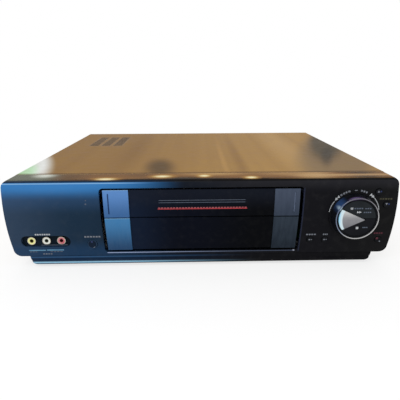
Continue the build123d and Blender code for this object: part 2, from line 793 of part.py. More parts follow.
def dial_key(area, stem, proud):
    front = CORE_FRONT_Y - proud
    back = front + KEY_T + proud
    key = facing(DIAL_X, DIAL_Z, front, back, area)
    x, z = stem
    return key + lengthwise(DIAL_X + x, DIAL_Z + z, front + KEY_STEM_IN, STEM_END_Y, STEM_R)


def play_button():
    return dial_key(key_area() & play_area(0), key_stems()[0], PLAY_PROUD)


def half_key(side):
    """The key above (side 1) or below (side -1) the play key."""
    half = Pos(0, side * CORE_R / 2) * Rectangle(2 * CORE_R, CORE_R)
    split = KEY_GAP / 2
    half = half & Pos(0, side * split) * Rectangle(4 * CORE_R, 4 * CORE_R)
    area = (key_area() & half) - Rectangle(4 * CORE_R, KEY_GAP) - play_area(KEY_GAP)
    return dial_key(area, key_stems()[1 if side > 0 else 2], 0)


def shuttle_ring():
    inner = CORE_R + RUN_FIT
    sleeve = inner + SLEEVE_T
    base_y = -DIAL_SEAT_PROUD - GAP
    top_y = -DIAL_PROUD + TRIM_T
    lip_y = DIAL_SEAT_BACK_Y + GAP
    edge = [
        (inner, top_y),
        (SKIRT_TOP_R, top_y),
        (SKIRT_BASE_R, base_y),
        (sleeve, base_y),
        (sleeve, lip_y),
        (sleeve + RING_LIP, lip_y),
        (sleeve + RING_LIP, lip_y + RING_LIP_T),
        (inner, lip_y + RING_LIP_T),
    ]
    section = make_face(Polyline(*[(DIAL_X + r, y) for r, y in edge], close=True))
    plane = Plane(origin=(0, FRONT_Y, DIAL_Z), x_dir=(1, 0, 0), z_dir=(0, 0, 1))
    return revolve(plane * section, Axis((DIAL_X, 0, DIAL_Z), (0, 1, 0)), 360)


def shuttle_trim():
    outer = SKIRT_TOP_R - TRIM_IN
    trim = dial_disc(-DIAL_PROUD, -DIAL_PROUD + TRIM_T, outer)
    return trim - dial_disc(-DIAL_PROUD, -DIAL_PROUD + TRIM_T, outer - TRIM_W)


# Cabinet


def side_screw_ys():
    return (SIDE_SCREW_FRONT_Y, SIDE_SCREW_REAR_Y)


def side_holes(r):
    half = COVER_W / 2 + SCREW_HEAD_T
    return [crosswise(-half, half, y, SIDE_SCREW_Z, r) for y in side_screw_ys()]


def top_cover():
    """A folded sheet, open below, in front and behind, with vents at the left rear."""
    high = CABINET_H - COVER_BOTTOM_Z
    middle = (CABINET_H + COVER_BOTTOM_Z) / 2
    outer = Rectangle(COVER_W, high)
    outer = fillet(outer.vertices().group_by(Axis.Y)[-1], COVER_EDGE_R)
    inner = Pos(0, -COVER_T) * Rectangle(COVER_W - 2 * COVER_T, high)
    inner = fillet(inner.vertices().group_by(Axis.Y)[-1], COVER_EDGE_R - COVER_T)
    cover = facing(0, middle, COVER_Y, CABINET_D, outer - inner)
    for x in spread(VENT_X, VENT_COLUMN_PITCH, VENT_COLUMNS):
        for y in spread(VENT_Y, VENT_ROW_PITCH, VENT_ROWS):
            slot = SlotOverall(VENT_SLOT_W, VENT_SLOT_H)
            top = Pos(x, FRONT_Y + y, CABINET_H - 2 * COVER_T)
            cover -= extrude(top * slot, amount=4 * COVER_T)
    for hole in side_holes(SCREW_R + GAP):
        cover -= hole
    return cover


def spread(middle, pitch, count):
    return [middle + (i - (count - 1) / 2) * pitch for i in range(count)]


def bottom_pan():
    rim_top = PAN_TOP_Z + PAN_RIM_H
    pan = box(-PAN_HALF_W, PAN_HALF_W, COVER_Y, REAR_PANEL_Y, PAN_Z, rim_top)
    inner = PAN_HALF_W - PAN_T
    pan -= box(-inner, inner, COVER_Y + PAN_T, CABINET_D, PAN_TOP_Z, rim_top)
    for hole in side_holes(SCREW_R + RUN_FIT):
        pan -= hole
    for x, y in board_posts():
        pan += upright(x, y, PAN_TOP_Z, INNER_BOARD_Z, STANDOFF_R)
    return pan


def foot_places():
    ys = (FOOT_FRONT_Y, FOOT_REAR_Y)
    return [(x, y) for x in (-FOOT_X, FOOT_X) for y in ys]


def feet():
    pads = []
    for x, y in foot_places():
        pad = upright(x, y, 0, PAN_Z, FOOT_R)
        low_edge = pad.edges().group_by(Axis.Z)[0]
        pads.append(chamfer(low_edge, FOOT_EDGE))
    return Compound(children=pads)


def cover_screws():
    screws = []
    for side in (-1, 1):
        for y in side_screw_ys():
            face = side * COVER_W / 2
            head = face + side * SCREW_HEAD_T
            tip = face - side * SCREW_L
            z = SIDE_SCREW_Z
            screw = crosswise(min(face, head), max(face, head), y, z, SCREW_HEAD_R)
            screw += crosswise(min(tip, face), max(tip, face), y, z, SCREW_R)
            for half_y, half_z in (CROSS_HALF_W, CROSS_HALF_L), (CROSS_HALF_L, CROSS_HALF_W):
                screw -= box(head - SCREW_HEAD_T / 2, head + SCREW_HEAD_T / 2,
                             y - half_y, y + half_y, z - half_z, z + half_z)
            screws.append(screw)
    return Compound(children=screws)


def rear_panel():
    y0, y1 = REAR_PANEL_Y, REAR_PANEL_Y + REAR_PANEL_T
    top = CABINET_H - COVER_T - GAP
    panel = box(-PAN_HALF_W, PAN_HALF_W, y0, y1, PAN_Z, top)
    corners = panel.edges().filter_by(Axis.Y).group_by(Axis.Z)[-1]
    panel = fillet(corners, COVER_EDGE_R)
    for x in rear_jack_xs():
        for z in rear_jack_zs():
            panel -= lengthwise(x, z, y0, y1, JACK_R + GAP)
    for x in socket_xs():
        panel -= lengthwise(x, socket_z(), y0, y1, SOCKET_R + GAP)
    inlet = RectangleRounded(INLET_W + 2 * GAP, INLET_H + 2 * GAP, INLET_CORNER_R)
    panel -= facing(INLET_X, INLET_Z, y0, y1, inlet)
    return panel


# Boards and modules beside the deck


def board_posts():
    posts = []
    for middle, width, front in (
        (MAIN_BOARD_X, MAIN_BOARD_W, MAIN_BOARD_FRONT_Y),
        (POWER_BOARD_X, POWER_BOARD_W, POWER_BOARD_FRONT_Y),
    ):
        reach = width / 2 - STANDOFF_IN
        for x in (middle - reach, middle + reach):
            posts += [(x, front + STANDOFF_IN), (x, MAIN_BOARD_REAR_Y - STANDOFF_IN)]
    return posts


def inner_board(middle, width, front):
    half = width / 2
    return box(middle - half, middle + half, front, MAIN_BOARD_REAR_Y,
               INNER_BOARD_Z, BOARD_TOP_Z)


def chip(x, y):
    """A flat package on two rows of pins."""
    body_z = BOARD_TOP_Z + CHIP_STAND
    body = box(x - CHIP_W / 2, x + CHIP_W / 2, y - CHIP_L / 2, y + CHIP_L / 2,
               body_z, body_z + CHIP_T)
    for side in (-1, 1):
        inner = x + side * (CHIP_W / 2 - CHIP_PIN_HALF_L)
        outer = x + side * (CHIP_W / 2 + CHIP_PIN_HALF_L)
        for row in spread(y, CHIP_PIN_PITCH, CHIP_PINS):
            body += box(min(inner, outer), max(inner, outer), row - CHIP_PIN_HALF_W,
                        row + CHIP_PIN_HALF_W, BOARD_TOP_Z, body_z + CHIP_PIN_UP)
    return body


def ic_packages():
    """Four packages in two staggered rows on the main board."""
    chips = []
    for i, y in enumerate(CHIP_FROM_FRONT):
        side = 1 if i % 2 else -1
        chips.append(chip(MAIN_BOARD_X + side * MAIN_ROW_OUT, MAIN_BOARD_FRONT_Y + y))
    return Compound(children=chips)


def can(x, y, r, h):
    body = upright(x, y, BOARD_TOP_Z, BOARD_TOP_Z + h, r)
    return chamfer(body.edges().group_by(Axis.Z)[-1], CAN_EDGE)


def capacitors():
    left = POWER_BOARD_X - POWER_CAP_SHIFT
    cans = []
    for x in spread(left, POWER_CAP_PITCH, 2):
        cans.append(can(x, POWER_BOARD_FRONT_Y + POWER_CAP_Y, POWER_CAP_R, POWER_CAP_H))
    for x in spread(POWER_BOARD_X + SMALL_CAP_SHIFT, SMALL_CAP_PITCH, 2):
        for y in spread(MAIN_BOARD_REAR_Y - SMALL_CAP_REAR_Y, SMALL_CAP_PITCH, 2):
            cans.append(can(x, y, SMALL_CAP_R, SMALL_CAP_H))
    for x in spread(MAIN_BOARD_X, 2 * MAIN_ROW_OUT, 2):
        for y in MAIN_CAP_FROM_FRONT:
            cans.append(can(x, MAIN_BOARD_FRONT_Y + y, SMALL_CAP_R, SMALL_CAP_H))
    return Compound(children=cans)


def power_transformer():
    """A laminated core with the coil round its middle limb."""
    x, y = TRANSFORMER_X, TRANSFORMER_Y
    z0, z1 = BOARD_TOP_Z, BOARD_TOP_Z + TRANSFORMER_H
    half_w, half_d = TRANSFORMER_W / 2, TRANSFORMER_D / 2
    core = box(x - half_w, x + half_w, y - half_d, y + half_d, z0, z1)
    middle = (z0 + z1) / 2
    winding = RectangleRounded(COIL_W, COIL_H, COIL_R)
    coil = facing(x, middle, y - COIL_D / 2, y + COIL_D / 2, winding)
    return core + coil


def heat_sink():
    z0, z1 = BOARD_TOP_Z, BOARD_TOP_Z + SINK_H
    y0, y1 = SINK_Y - SINK_L / 2, SINK_Y + SINK_L / 2
    sink = box(SINK_X - SINK_T, SINK_X, y0, y1, z0, z1)
    for y in spread(SINK_Y, (SINK_L - SINK_T) / (SINK_FINS - 1), SINK_FINS):
        sink += box(SINK_X - SINK_T, SINK_X + SINK_FIN_L, y - SINK_T / 2, y + SINK_T / 2, z0, z1)
    return sink


def mains_inlet():
    """A two-pin inlet with its pins in a figure-of-eight well."""
    front = REAR_PANEL_Y - INLET_DEPTH
    face = REAR_PANEL_Y + REAR_PANEL_T + INLET_PROUD
    shell = RectangleRounded(INLET_W, INLET_H, INLET_CORNER_R)
    inlet = facing(INLET_X, INLET_Z, front, face, shell)
    edge = 2 * INLET_FLANGE
    flange = RectangleRounded(INLET_W + edge, INLET_H + edge, INLET_CORNER_R)
    inlet += facing(INLET_X, INLET_Z, REAR_PANEL_Y - INLET_FLANGE_T, REAR_PANEL_Y, flange)
    well_r = INLET_PIN_PITCH / 2 + INLET_WELL_EDGE
    pins = spread(INLET_X, INLET_PIN_PITCH, 2)
    for x in pins:
        inlet -= lengthwise(x, INLET_Z, face - INLET_WELL, face, well_r)
    for x in pins:
        inlet += lengthwise(x, INLET_Z, face - INLET_WELL, face - INLET_PIN_IN, INLET_PIN_R)
    return inlet


def rear_jack_xs():
    return spread(REAR_JACK_X, REAR_JACK_PITCH, REAR_JACK_COLUMNS)


def rear_jack_zs():
    return spread(REAR_JACK_Z, REAR_JACK_PITCH, REAR_JACK_ROWS)


def rear_jacks():
    xs, zs = rear_jack_xs(), rear_jack_zs()
    edge = REAR_JACK_PITCH / 2
    block_back = REAR_PANEL_Y
    block = box(xs[0] - edge, xs[-1] + edge, block_back - REAR_JACK_BLOCK_D, block_back,
                zs[0] - edge, zs[-1] + edge)
    tip = REAR_PANEL_Y + REAR_PANEL_T + REAR_JACK_PROUD
    for x in xs:
        for z in zs:
            block += lengthwise(x, z, block_back, tip, JACK_R)
            block -= lengthwise(x, z, block_back - REAR_JACK_DEEP, tip, JACK_BORE_R)
    return block


def tuner_rear():
    return REAR_PANEL_Y - GAP


def tuner_module():
    half = TUNER_W / 2
    z0 = BOARD_TOP_Z + TUNER_LIFT
    case = box(TUNER_X - half, TUNER_X + half, tuner_rear() - TUNER_D, tuner_rear(),
               z0, z0 + TUNER_H)
    leg_w, leg_t = TUNER_LEG_HALF_W, TUNER_LEG_HALF_T
    for x in (TUNER_X - half + TUNER_LEG_IN, TUNER_X + half - TUNER_LEG_IN):
        for y in (tuner_rear() - TUNER_D + TUNER_LEG_FRONT, MAIN_BOARD_REAR_Y - 2 * STANDOFF_IN):
            case += box(x - leg_w, x + leg_w, y - leg_t, y + leg_t, BOARD_TOP_Z, z0)
    for x in socket_xs():
        case -= lengthwise(x, socket_z(), tuner_rear() - SOCKET_SEAT, tuner_rear(), SOCKET_R)
    return case


def socket_xs():
    return spread(TUNER_X, SOCKET_PITCH, 2)


def socket_z():
    return BOARD_TOP_Z + TUNER_LIFT + TUNER_H / 2


def rf_sockets():
    sockets = []
    tip = CABINET_D + SOCKET_PROUD
    nut_y = REAR_PANEL_Y + REAR_PANEL_T
    for x in socket_xs():
        socket = lengthwise(x, socket_z(), tuner_rear() - SOCKET_SEAT, tip, SOCKET_R)
        nut = facing(x, socket_z(), nut_y, nut_y + SOCKET_NUT_T, RegularPolygon(SOCKET_NUT_R, 6))
        socket += nut
        socket -= lengthwise(x, socket_z(), nut_y, tip, SOCKET_R - SOCKET_WALL)
        core_r = SOCKET_BORE_R + SOCKET_CORE_WALL
        core_y = nut_y - SOCKET_CORE_SEAT
        socket += lengthwise(x, socket_z(), core_y, tip - SOCKET_CORE_IN, core_r)
        socket -= lengthwise(x, socket_z(), nut_y, tip, SOCKET_BORE_R)
        sockets.append(socket)
    return Compound(children=sockets)


# Tape deck


def on_deck(x):
    return DOOR_X + x


def guide_slot(side):
    r0, r1 = GUIDE_R - GUIDE_PEG_R - GAP, GUIDE_R + GUIDE_PEG_R + GAP
    ring = Circle(r1) - Circle(r0)
    swing = GUIDE_SWING_DEG
    start = radians(GUIDE_REST_DEG)
    end = radians(GUIDE_REST_DEG + swing)
    middle = radians(GUIDE_REST_DEG + swing / 2)
    far = 3 * GUIDE_R
    fan = Polyline(
        (0, 0),
        (side * far * sin(start), -far * cos(start)),
        (side * far * sin(middle), -far * cos(middle)),
        (side * far * sin(end), -far * cos(end)),
        close=True,
    )
    slot = ring & make_face(fan)
    for a in (start, end):
        spot = Pos(side * GUIDE_R * sin(a), -GUIDE_R * cos(a))
        slot += spot * Circle(GUIDE_PEG_R + GAP)
    at = Pos(on_deck(0), FRONT_Y + DRUM_Y, DECK_Z)
    return extrude(at * slot, amount=DECK_T)


def deck_plate():
    """The pressed plate, its legs, and the fixed posts that moving parts turn on."""
    left, right = on_deck(-DECK_HALF_W), on_deck(DECK_HALF_W)
    deck = box(left, right, DECK_FRONT_Y, DECK_REAR_Y, DECK_Z, DECK_TOP_Z)
    for x in (left + DECK_LEG_IN, right - DECK_LEG_IN):
        for y in (DECK_FRONT_Y + DECK_LEG_IN, DECK_REAR_Y - DECK_LEG_IN):
            deck += upright(x, y, PAN_TOP_Z, DECK_Z, DECK_LEG_R)
    for side in (-1, 1):
        deck += upright(on_deck(side * REEL_X), REEL_Y, DECK_Z, REEL_HUB_TOP_Z - POST_SHORT, POST_R)
        deck -= guide_slot(side)
    pivot_top = PINCH_ARM_Z + PINCH_ARM_T + PINCH_PIVOT_UP
    deck += upright(on_deck(PINCH_PIVOT_X), PINCH_PIVOT_Y, DECK_Z, pivot_top, PINCH_PIVOT_R)
    deck -= upright(on_deck(CLUTCH_X), CLUTCH_Y, DECK_Z, DECK_TOP_Z, CLUTCH_SHAFT_R + RUN_FIT)
    deck -= upright(on_deck(CAPSTAN_X), CAPSTAN_Y, DECK_Z, DECK_TOP_Z, CAPSTAN_TUBE_R)
    return deck


def reel(side):
    """A reel table: a toothed disc with a splined spindle, free to turn on its post."""
    x = on_deck(side * REEL_X)
    z0 = DECK_TOP_Z + REEL_LIFT
    disc = upright(x, REEL_Y, z0, z0 + REEL_DISC_T, REEL_DISC_R)
    hub = upright(x, REEL_Y, z0, REEL_HUB_TOP_Z, REEL_HUB_R)
    hub = chamfer(hub.edges().group_by(Axis.Z)[-1], REEL_HUB_EDGE)
    body = disc + hub
    reach = REEL_HUB_R + REEL_SPLINE
    fin_top = REEL_HUB_TOP_Z - REEL_FIN_DOWN
    fin = Pos(reach / 2, 0, 0) * Box(reach, REEL_FIN_T, fin_top - z0)
    for i in range(REEL_FINS):
        at = Pos(x, FRONT_Y + REEL_Y, (fin_top + z0) / 2)
        body += at * Rot(0, 0, 360 * i / REEL_FINS) * fin
    return body - upright(x, REEL_Y, z0, REEL_HUB_TOP_Z, POST_R + RUN_FIT)


def drum_frame():
    """Places a shape drawn on the drum's own leaning axis."""
    return Pos(on_deck(0), FRONT_Y + DRUM_Y, DRUM_BASE_Z) * Rot(0, DRUM_TILT_DEG, 0)


def drum_part(z0, z1, r):
    return drum_frame() * Pos(0, 0, (z0 + z1) / 2) * Cylinder(r, z1 - z0)


def drum_top():
    return DRUM_LOWER_H + GAP + DRUM_UPPER_H


def lower_drum():
    drum = drum_part(0, DRUM_LOWER_H, DRUM_R)
    drum += drum_part(0, drum_top() + ROTOR_H, DRUM_SHAFT_R)
    middle = on_deck(0)
    foot = upright(middle, DRUM_Y, DECK_TOP_Z, DRUM_BASE_Z, DRUM_PEDESTAL_R)
    return drum + foot


def head_slots(grow):
    slots = []
    for i in range(HEADS):
        block = Box(HEAD_D + 2 * grow, HEAD_W + 2 * grow, HEAD_H + 2 * grow)
        out = DRUM_R - HEAD_D / 2
        up = DRUM_LOWER_H + GAP + HEAD_H / 2
        slots.append(drum_frame() * Rot(0, 0, 360 * i / HEADS + HEAD_START_DEG) * Pos(out, 0, up) * block)
    return slots


def upper_drum():
    drum = drum_part(DRUM_LOWER_H + GAP, drum_top(), DRUM_R)
    drum -= drum_part(DRUM_LOWER_H + GAP, drum_top(), DRUM_SHAFT_R + RUN_FIT)
    floor = drum_top() - DRUM_GROOVE_D
    groove = drum_part(floor, drum_top(), DRUM_R - DRUM_RIM_W)
    drum -= groove - drum_part(floor, drum_top(), DRUM_HUB_R)
    for slot in head_slots(GAP):
        drum -= slot
    return drum


def video_heads():
    outside = drum_part(0, drum_top(), DRUM_R)
    return Compound(children=[slot & outside for slot in head_slots(0)])


def drum_rotor():
    rotor = drum_part(drum_top(), drum_top() + ROTOR_H, ROTOR_R)
    return rotor - drum_part(drum_top(), drum_top() + ROTOR_H, DRUM_SHAFT_R + RUN_FIT)


def guide_post(side):
    """A guide roller on a pad whose peg rides in the curved slot."""
    a = radians(GUIDE_REST_DEG)
    x, y = on_deck(side * GUIDE_R * sin(a)), DRUM_Y - GUIDE_R * cos(a)
    pad_z = DECK_TOP_Z + GAP
    post = upright(x, y, pad_z, pad_z + GUIDE_PAD_T, GUIDE_PAD_R)
    post += upright(x, y, DECK_Z - GUIDE_PEG_DOWN, pad_z, GUIDE_PEG_R)
    clip_z = DECK_Z - GAP
    post += upright(x, y, clip_z - GUIDE_CLIP_T, clip_z, GUIDE_PEG_R + GUIDE_EDGE)
    post += upright(x, y, pad_z + GUIDE_PAD_T, GUIDE_TOP_Z, GUIDE_ROLLER_R - GUIDE_EDGE)
    roller_z = GUIDE_TOP_Z - GUIDE_CAP_H
    post += upright(x, y, roller_z - GUIDE_ROLLER_H, roller_z, GUIDE_ROLLER_R)
    return post


def capstan_housing():
    x = on_deck(CAPSTAN_X)
    under = FLYWHEEL_Z + FLYWHEEL_H + GAP
    tube = upright(x, CAPSTAN_Y, under, CAPSTAN_TUBE_TOP_Z, CAPSTAN_TUBE_R)
    tube += upright(x, CAPSTAN_Y, DECK_TOP_Z, DECK_TOP_Z + CAPSTAN_FLANGE_T, CAPSTAN_FLANGE_R)
    return tube - upright(x, CAPSTAN_Y, under, CAPSTAN_TUBE_TOP_Z, CAPSTAN_R + RUN_FIT)


def capstan_rotor():
    x = on_deck(CAPSTAN_X)
    rotor = upright(x, CAPSTAN_Y, PULLEY_Z, CAPSTAN_TOP_Z, CAPSTAN_R)
    rotor += upright(x, CAPSTAN_Y, FLYWHEEL_Z, FLYWHEEL_Z + FLYWHEEL_H, FLYWHEEL_R)
    return rotor + upright(x, CAPSTAN_Y, PULLEY_Z, FLYWHEEL_Z, CAPSTAN_PULLEY_R)


def clutch_pulley():
    x = on_deck(CLUTCH_X)
    gear_z = DECK_TOP_Z + GAP
    pulley = upright(x, CLUTCH_Y, PULLEY_Z, PULLEY_Z + PULLEY_H, CLUTCH_PULLEY_R)
    pulley += upright(x, CLUTCH_Y, PULLEY_Z, gear_z + CLUTCH_GEAR_T + CLUTCH_SHAFT_UP,
                      CLUTCH_SHAFT_R)
    return pulley + upright(x, CLUTCH_Y, gear_z, gear_z + CLUTCH_GEAR_T, CLUTCH_GEAR_R)


def belt_loop(grow):
    capstan = Pos(on_deck(CAPSTAN_X), FRONT_Y + CAPSTAN_Y) * Circle(CAPSTAN_PULLEY_R + grow)
    clutch = Pos(on_deck(CLUTCH_X), FRONT_Y + CLUTCH_Y) * Circle(CLUTCH_PULLEY_R + grow)
    return make_hull(capstan.edges() + clutch.edges())


def drive_belt():
    loop = belt_loop(GAP + BELT_T) - belt_loop(GAP)
    low = PULLEY_Z + (PULLEY_H - BELT_W) / 2
    return extrude(Pos(0, 0, low) * loop, amount=BELT_W)


def pinch_tip():
    a = radians(PINCH_REST_DEG)
    return PINCH_PIVOT_X + PINCH_REACH * cos(a), PINCH_PIVOT_Y + PINCH_REACH * sin(a)


def pinch_arm():
    x, y = pinch_tip()
    top = PINCH_ARM_Z + PINCH_ARM_T
    hub_z = PINCH_ARM_Z - PINCH_HUB_DOWN
    pivot = upright(on_deck(PINCH_PIVOT_X), PINCH_PIVOT_Y, hub_z, top, PINCH_HUB_R)
    tip = upright(on_deck(x), y, PINCH_ARM_Z, top, PINCH_HUB_R)
    bar = Pos(PINCH_REACH / 2, 0, 0) * Box(PINCH_REACH, 2 * PINCH_HUB_R, PINCH_ARM_T)
    at = Pos(on_deck(PINCH_PIVOT_X), FRONT_Y + PINCH_PIVOT_Y, PINCH_ARM_Z + PINCH_ARM_T / 2)
    arm = pivot + tip + at * Rot(0, 0, PINCH_REST_DEG) * bar
    hole_r = PINCH_PIVOT_R + RUN_FIT
    arm -= upright(on_deck(PINCH_PIVOT_X), PINCH_PIVOT_Y, hub_z, top, hole_r)
    return arm + upright(on_deck(x), y, PINCH_ARM_Z, PINCH_ROLLER_Z + PINCH_ROLLER_H, POST_R)


def pinch_roller():
    x, y = pinch_tip()
    z0, z1 = PINCH_ROLLER_Z, PINCH_ROLLER_Z + PINCH_ROLLER_H
    roller = upright(on_deck(x), y, z0, z1, PINCH_ROLLER_R)
    return roller - upright(on_deck(x), y, z0, z1, POST_R + RUN_FIT)


def tape_head(x, y):
    half_w, half_d = TAPE_HEAD_W / 2, TAPE_HEAD_D / 2
    middle = on_deck(x)
    foot_top = DECK_TOP_Z + TAPE_HEAD_FOOT_H
    head = box(middle - half_w, middle + half_w, y - half_d, y + half_d,
               foot_top, TAPE_HEAD_TOP_Z)
    return head + upright(middle, y, DECK_TOP_Z, foot_top, half_d)


def stationary_heads():
    erase = tape_head(ERASE_HEAD_X, ERASE_HEAD_Y)
    return Compound(children=[erase, tape_head(SOUND_HEAD_X, SOUND_HEAD_Y)])


# Cassette carriage


def guide_pin_ys(first, depth):
    return (first + GUIDE_PIN_IN, first + depth - GUIDE_PIN_IN)


def carriage_frames():
    frames = []
    back = DECK_FRONT_Y + FRAME_D
    for side in (-1, 1):
        inner = on_deck(side * FRAME_IN)
        outer = inner + side * SLIDER_T
        x0, x1 = min(inner, outer), max(inner, outer)
        frame = box(x0, x1, DECK_FRONT_Y, back, DECK_TOP_Z, FRAME_TOP_Z)
        window_top = SLIDER_PIN_Z - 3 * GUIDE_PIN_R
        frame -= box(x0, x1, DECK_FRONT_Y + FRAME_EDGE, back - FRAME_EDGE,
                     DECK_TOP_Z + FRAME_EDGE, window_top)
        ys = guide_pin_ys(SLIDER_Y, SLIDER_D)
        r = GUIDE_PIN_R + RUN_FIT
        end = ys[1] + CARRIAGE_TRAVEL
        frame -= box(x0, x1, ys[0], end, SLIDER_PIN_Z - r, SLIDER_PIN_Z + r)
        for y in (ys[0], end):
            frame -= crosswise(x0, x1, y, SLIDER_PIN_Z, r)
        frames.append(frame)
    return Compound(children=frames)


def carriage_slider():
    """Two side plates joined by a bar; they carry the holder back and let it drop."""
    back = SLIDER_Y + SLIDER_D
    bar_y = back - SLIDER_BAR_D
    left, right = on_deck(-SLIDER_OUT), on_deck(SLIDER_OUT)
    slider = box(left, right, bar_y, back, SLIDER_TOP_Z - SLIDER_T, SLIDER_TOP_Z)
    ys = guide_pin_ys(SLIDER_Y, SLIDER_D)
    r = GUIDE_PIN_R + RUN_FIT
    for side in (-1, 1):
        inner, outer = on_deck(side * SLIDER_IN), on_deck(side * SLIDER_OUT)
        x0, x1 = min(inner, outer), max(inner, outer)
        plate = box(x0, x1, SLIDER_Y, back, SLIDER_LOW_Z, SLIDER_TOP_Z)
        for y in ys:
            low = HOLDER_PIN_Z - HOLDER_DROP
            plate -= box(x0, x1, y - r, y + r, low, HOLDER_PIN_Z)
            for z in (low, HOLDER_PIN_Z):
                plate -= crosswise(x0, x1, y, z, r)
            tip = outer + side * (FRAME_GAP + SLIDER_T)
            plate += crosswise(min(outer, tip), max(outer, tip), y, SLIDER_PIN_Z, GUIDE_PIN_R)
        slider += plate
    return slider


def cassette_holder():
    """The basket a cassette slides into: a roof, two sides and a lip under each side."""
    half = HOLDER_HALF_W
    left, right = on_deck(-half), on_deck(half)
    y0, y1 = HOLDER_Y, HOLDER_Y + HOLDER_D
    holder = box(left, right, y0, y1, HOLDER_LOW_Z, HOLDER_TOP_Z)
    holder -= box(left + HOLDER_T, right - HOLDER_T, y0, y1,
                  HOLDER_LOW_Z + HOLDER_T, HOLDER_TOP_Z - HOLDER_T)
    lip = HOLDER_LIP_W
    holder -= box(left + lip, right - lip, y0, y1, HOLDER_LOW_Z, HOLDER_LOW_Z + HOLDER_T)
    for side in (-1, 1):
        wall = on_deck(side * half)
        tip = wall + side * (SLIDER_GAP + SLIDER_T - HOLDER_PIN_SHORT)
        for y in guide_pin_ys(SLIDER_Y, SLIDER_D):
            holder += crosswise(min(wall, tip), max(wall, tip), y, HOLDER_PIN_Z, GUIDE_PIN_R)
    return holder


PARTS = {
    "front_panel": front_panel,
    "top_cover": top_cover,
    "bottom_pan": bottom_pan,
    "rear_panel": rear_panel,
    "feet": feet,
    "cover_screws": cover_screws,
    "cassette_flap": cassette_flap,
    "flap_end_caps": lambda: end_caps(FLAP_LOW_Z, FLAP_TOP_Z, True),
    "display_window": display_window,
    "display_end_caps": lambda: end_caps(WINDOW_LOW_Z, WINDOW_TOP_Z, False),
    "display_board": display_board,
    "vfd_tube": vfd_tube,
    "control_board": control_board,
    "jack_board": jack_board,
    "tact_switches": tact_switches,
    "operate_button": lambda: button(OPERATE_X, OPERATE_Z, OPERATE_R),
    "menu_button": lambda: button(MENU_X, MENU_Z, SMALL_R),
    "set_button": lambda: button(SET_X, MENU_Z, SMALL_R),
    "channel_up_button": lambda: button(CHANNEL_UP_X, CHANNEL_UP_Z, SMALL_R),
    "channel_down_button": lambda: button(CHANNEL_DOWN_X, CHANNEL_DOWN_Z, SMALL_R),
    "record_button": lambda: button(RECORD_X, RECORD_Z, SMALL_R),
    "dial_core": dial_core,
    "play_button": play_button,
    "pause_button": lambda: half_key(1),
    "stop_button": lambda: half_key(-1),
    "shuttle_ring": shuttle_ring,
    "shuttle_trim": shuttle_trim,
    "jack_shells": jack_shells,
    "video_jack_insert": lambda: jack_insert(jack_xs()[0]),
    "audio_left_jack_insert": lambda: jack_insert(jack_xs()[1]),
    "audio_right_jack_insert": lambda: jack_insert(jack_xs()[2]),
    "main_board": lambda: inner_board(MAIN_BOARD_X, MAIN_BOARD_W, MAIN_BOARD_FRONT_Y),
    "power_board": lambda: inner_board(POWER_BOARD_X, POWER_BOARD_W, POWER_BOARD_FRONT_Y),
    "ic_packages": ic_packages,
    "capacitors": capacitors,
    "power_transformer": power_transformer,
    "heat_sink": heat_sink,
    "mains_inlet": mains_inlet,
    "rear_jacks": rear_jacks,
    "tuner_module": tuner_module,
    "rf_sockets": rf_sockets,
    "deck_plate": deck_plate,
    "supply_reel": lambda: reel(-1),
    "takeup_reel": lambda: reel(1),
    "lower_drum": lower_drum,
    "upper_drum": upper_drum,
    "video_heads": video_heads,
    "drum_rotor": drum_rotor,
    "guide_post_supply": lambda: guide_post(-1),
    "guide_post_takeup": lambda: guide_post(1),
    "capstan_housing": capstan_housing,
    "capstan_rotor": capstan_rotor,
    "clutch_pulley": clutch_pulley,
    "drive_belt": drive_belt,
    "pinch_arm": pinch_arm,
    "pinch_roller": pinch_roller,
    "stationary_heads": stationary_heads,
    "carriage_frames": carriage_frames,
    "carriage_slider": carriage_slider,
    "cassette_holder": cassette_holder,
}

os.makedirs("parts", exist_ok=True)
for name, make in PARTS.items():
    save(name, make())
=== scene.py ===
import json
import math
import bpy
import bmesh
from mathutils import Matrix, Vector


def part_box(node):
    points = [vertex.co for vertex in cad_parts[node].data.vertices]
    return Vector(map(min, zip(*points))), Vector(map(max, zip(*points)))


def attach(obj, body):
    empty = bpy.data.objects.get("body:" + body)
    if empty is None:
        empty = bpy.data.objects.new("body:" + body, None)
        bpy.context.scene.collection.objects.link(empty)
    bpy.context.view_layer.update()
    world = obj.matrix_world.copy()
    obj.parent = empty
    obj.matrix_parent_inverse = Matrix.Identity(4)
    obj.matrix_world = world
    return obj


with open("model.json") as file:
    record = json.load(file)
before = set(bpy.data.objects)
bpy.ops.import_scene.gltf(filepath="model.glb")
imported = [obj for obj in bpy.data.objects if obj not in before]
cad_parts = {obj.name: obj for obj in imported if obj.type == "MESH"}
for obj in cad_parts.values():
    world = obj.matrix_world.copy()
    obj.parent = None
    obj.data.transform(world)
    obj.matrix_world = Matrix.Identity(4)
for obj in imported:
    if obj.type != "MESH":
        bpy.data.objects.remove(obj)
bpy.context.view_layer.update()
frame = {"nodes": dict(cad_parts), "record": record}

nodes = frame["nodes"]

# Lengths and places are millimetres in the row frame, and MM turns them into metres. Only the
# stage at the end of the script is laid out in metres.
MM = 0.001

# The front, as the solids have it: a curved face, a door, a shelf on top, a plinth below.
FRONT_Y = -144.5
FACE_R = 260.0
FACE_TANGENT_Z = 80.0
FLAP_SET_BACK = 1.4
SHELF_LOW_Z = 88.0
SHELF_Z = 93.0
PLINTH_TOP_Z = 12.3
LIP_Z = 5.3
SILL_Z = 16.3
DOOR_HALF_W = 98.5
DOOR_TOP_Z = 86.2
GROOVE_X = 90.2
SOCKET_PIT_X = (-180, -131.6)
SOCKET_PIT_Z = (24.4, 36)
SOCKET_PIT_Y = FRONT_Y + 7.0
BUTTON_FLANGE, BUTTON_RIM, BUTTON_DISH_D = 1.1, 0.5, 0.4

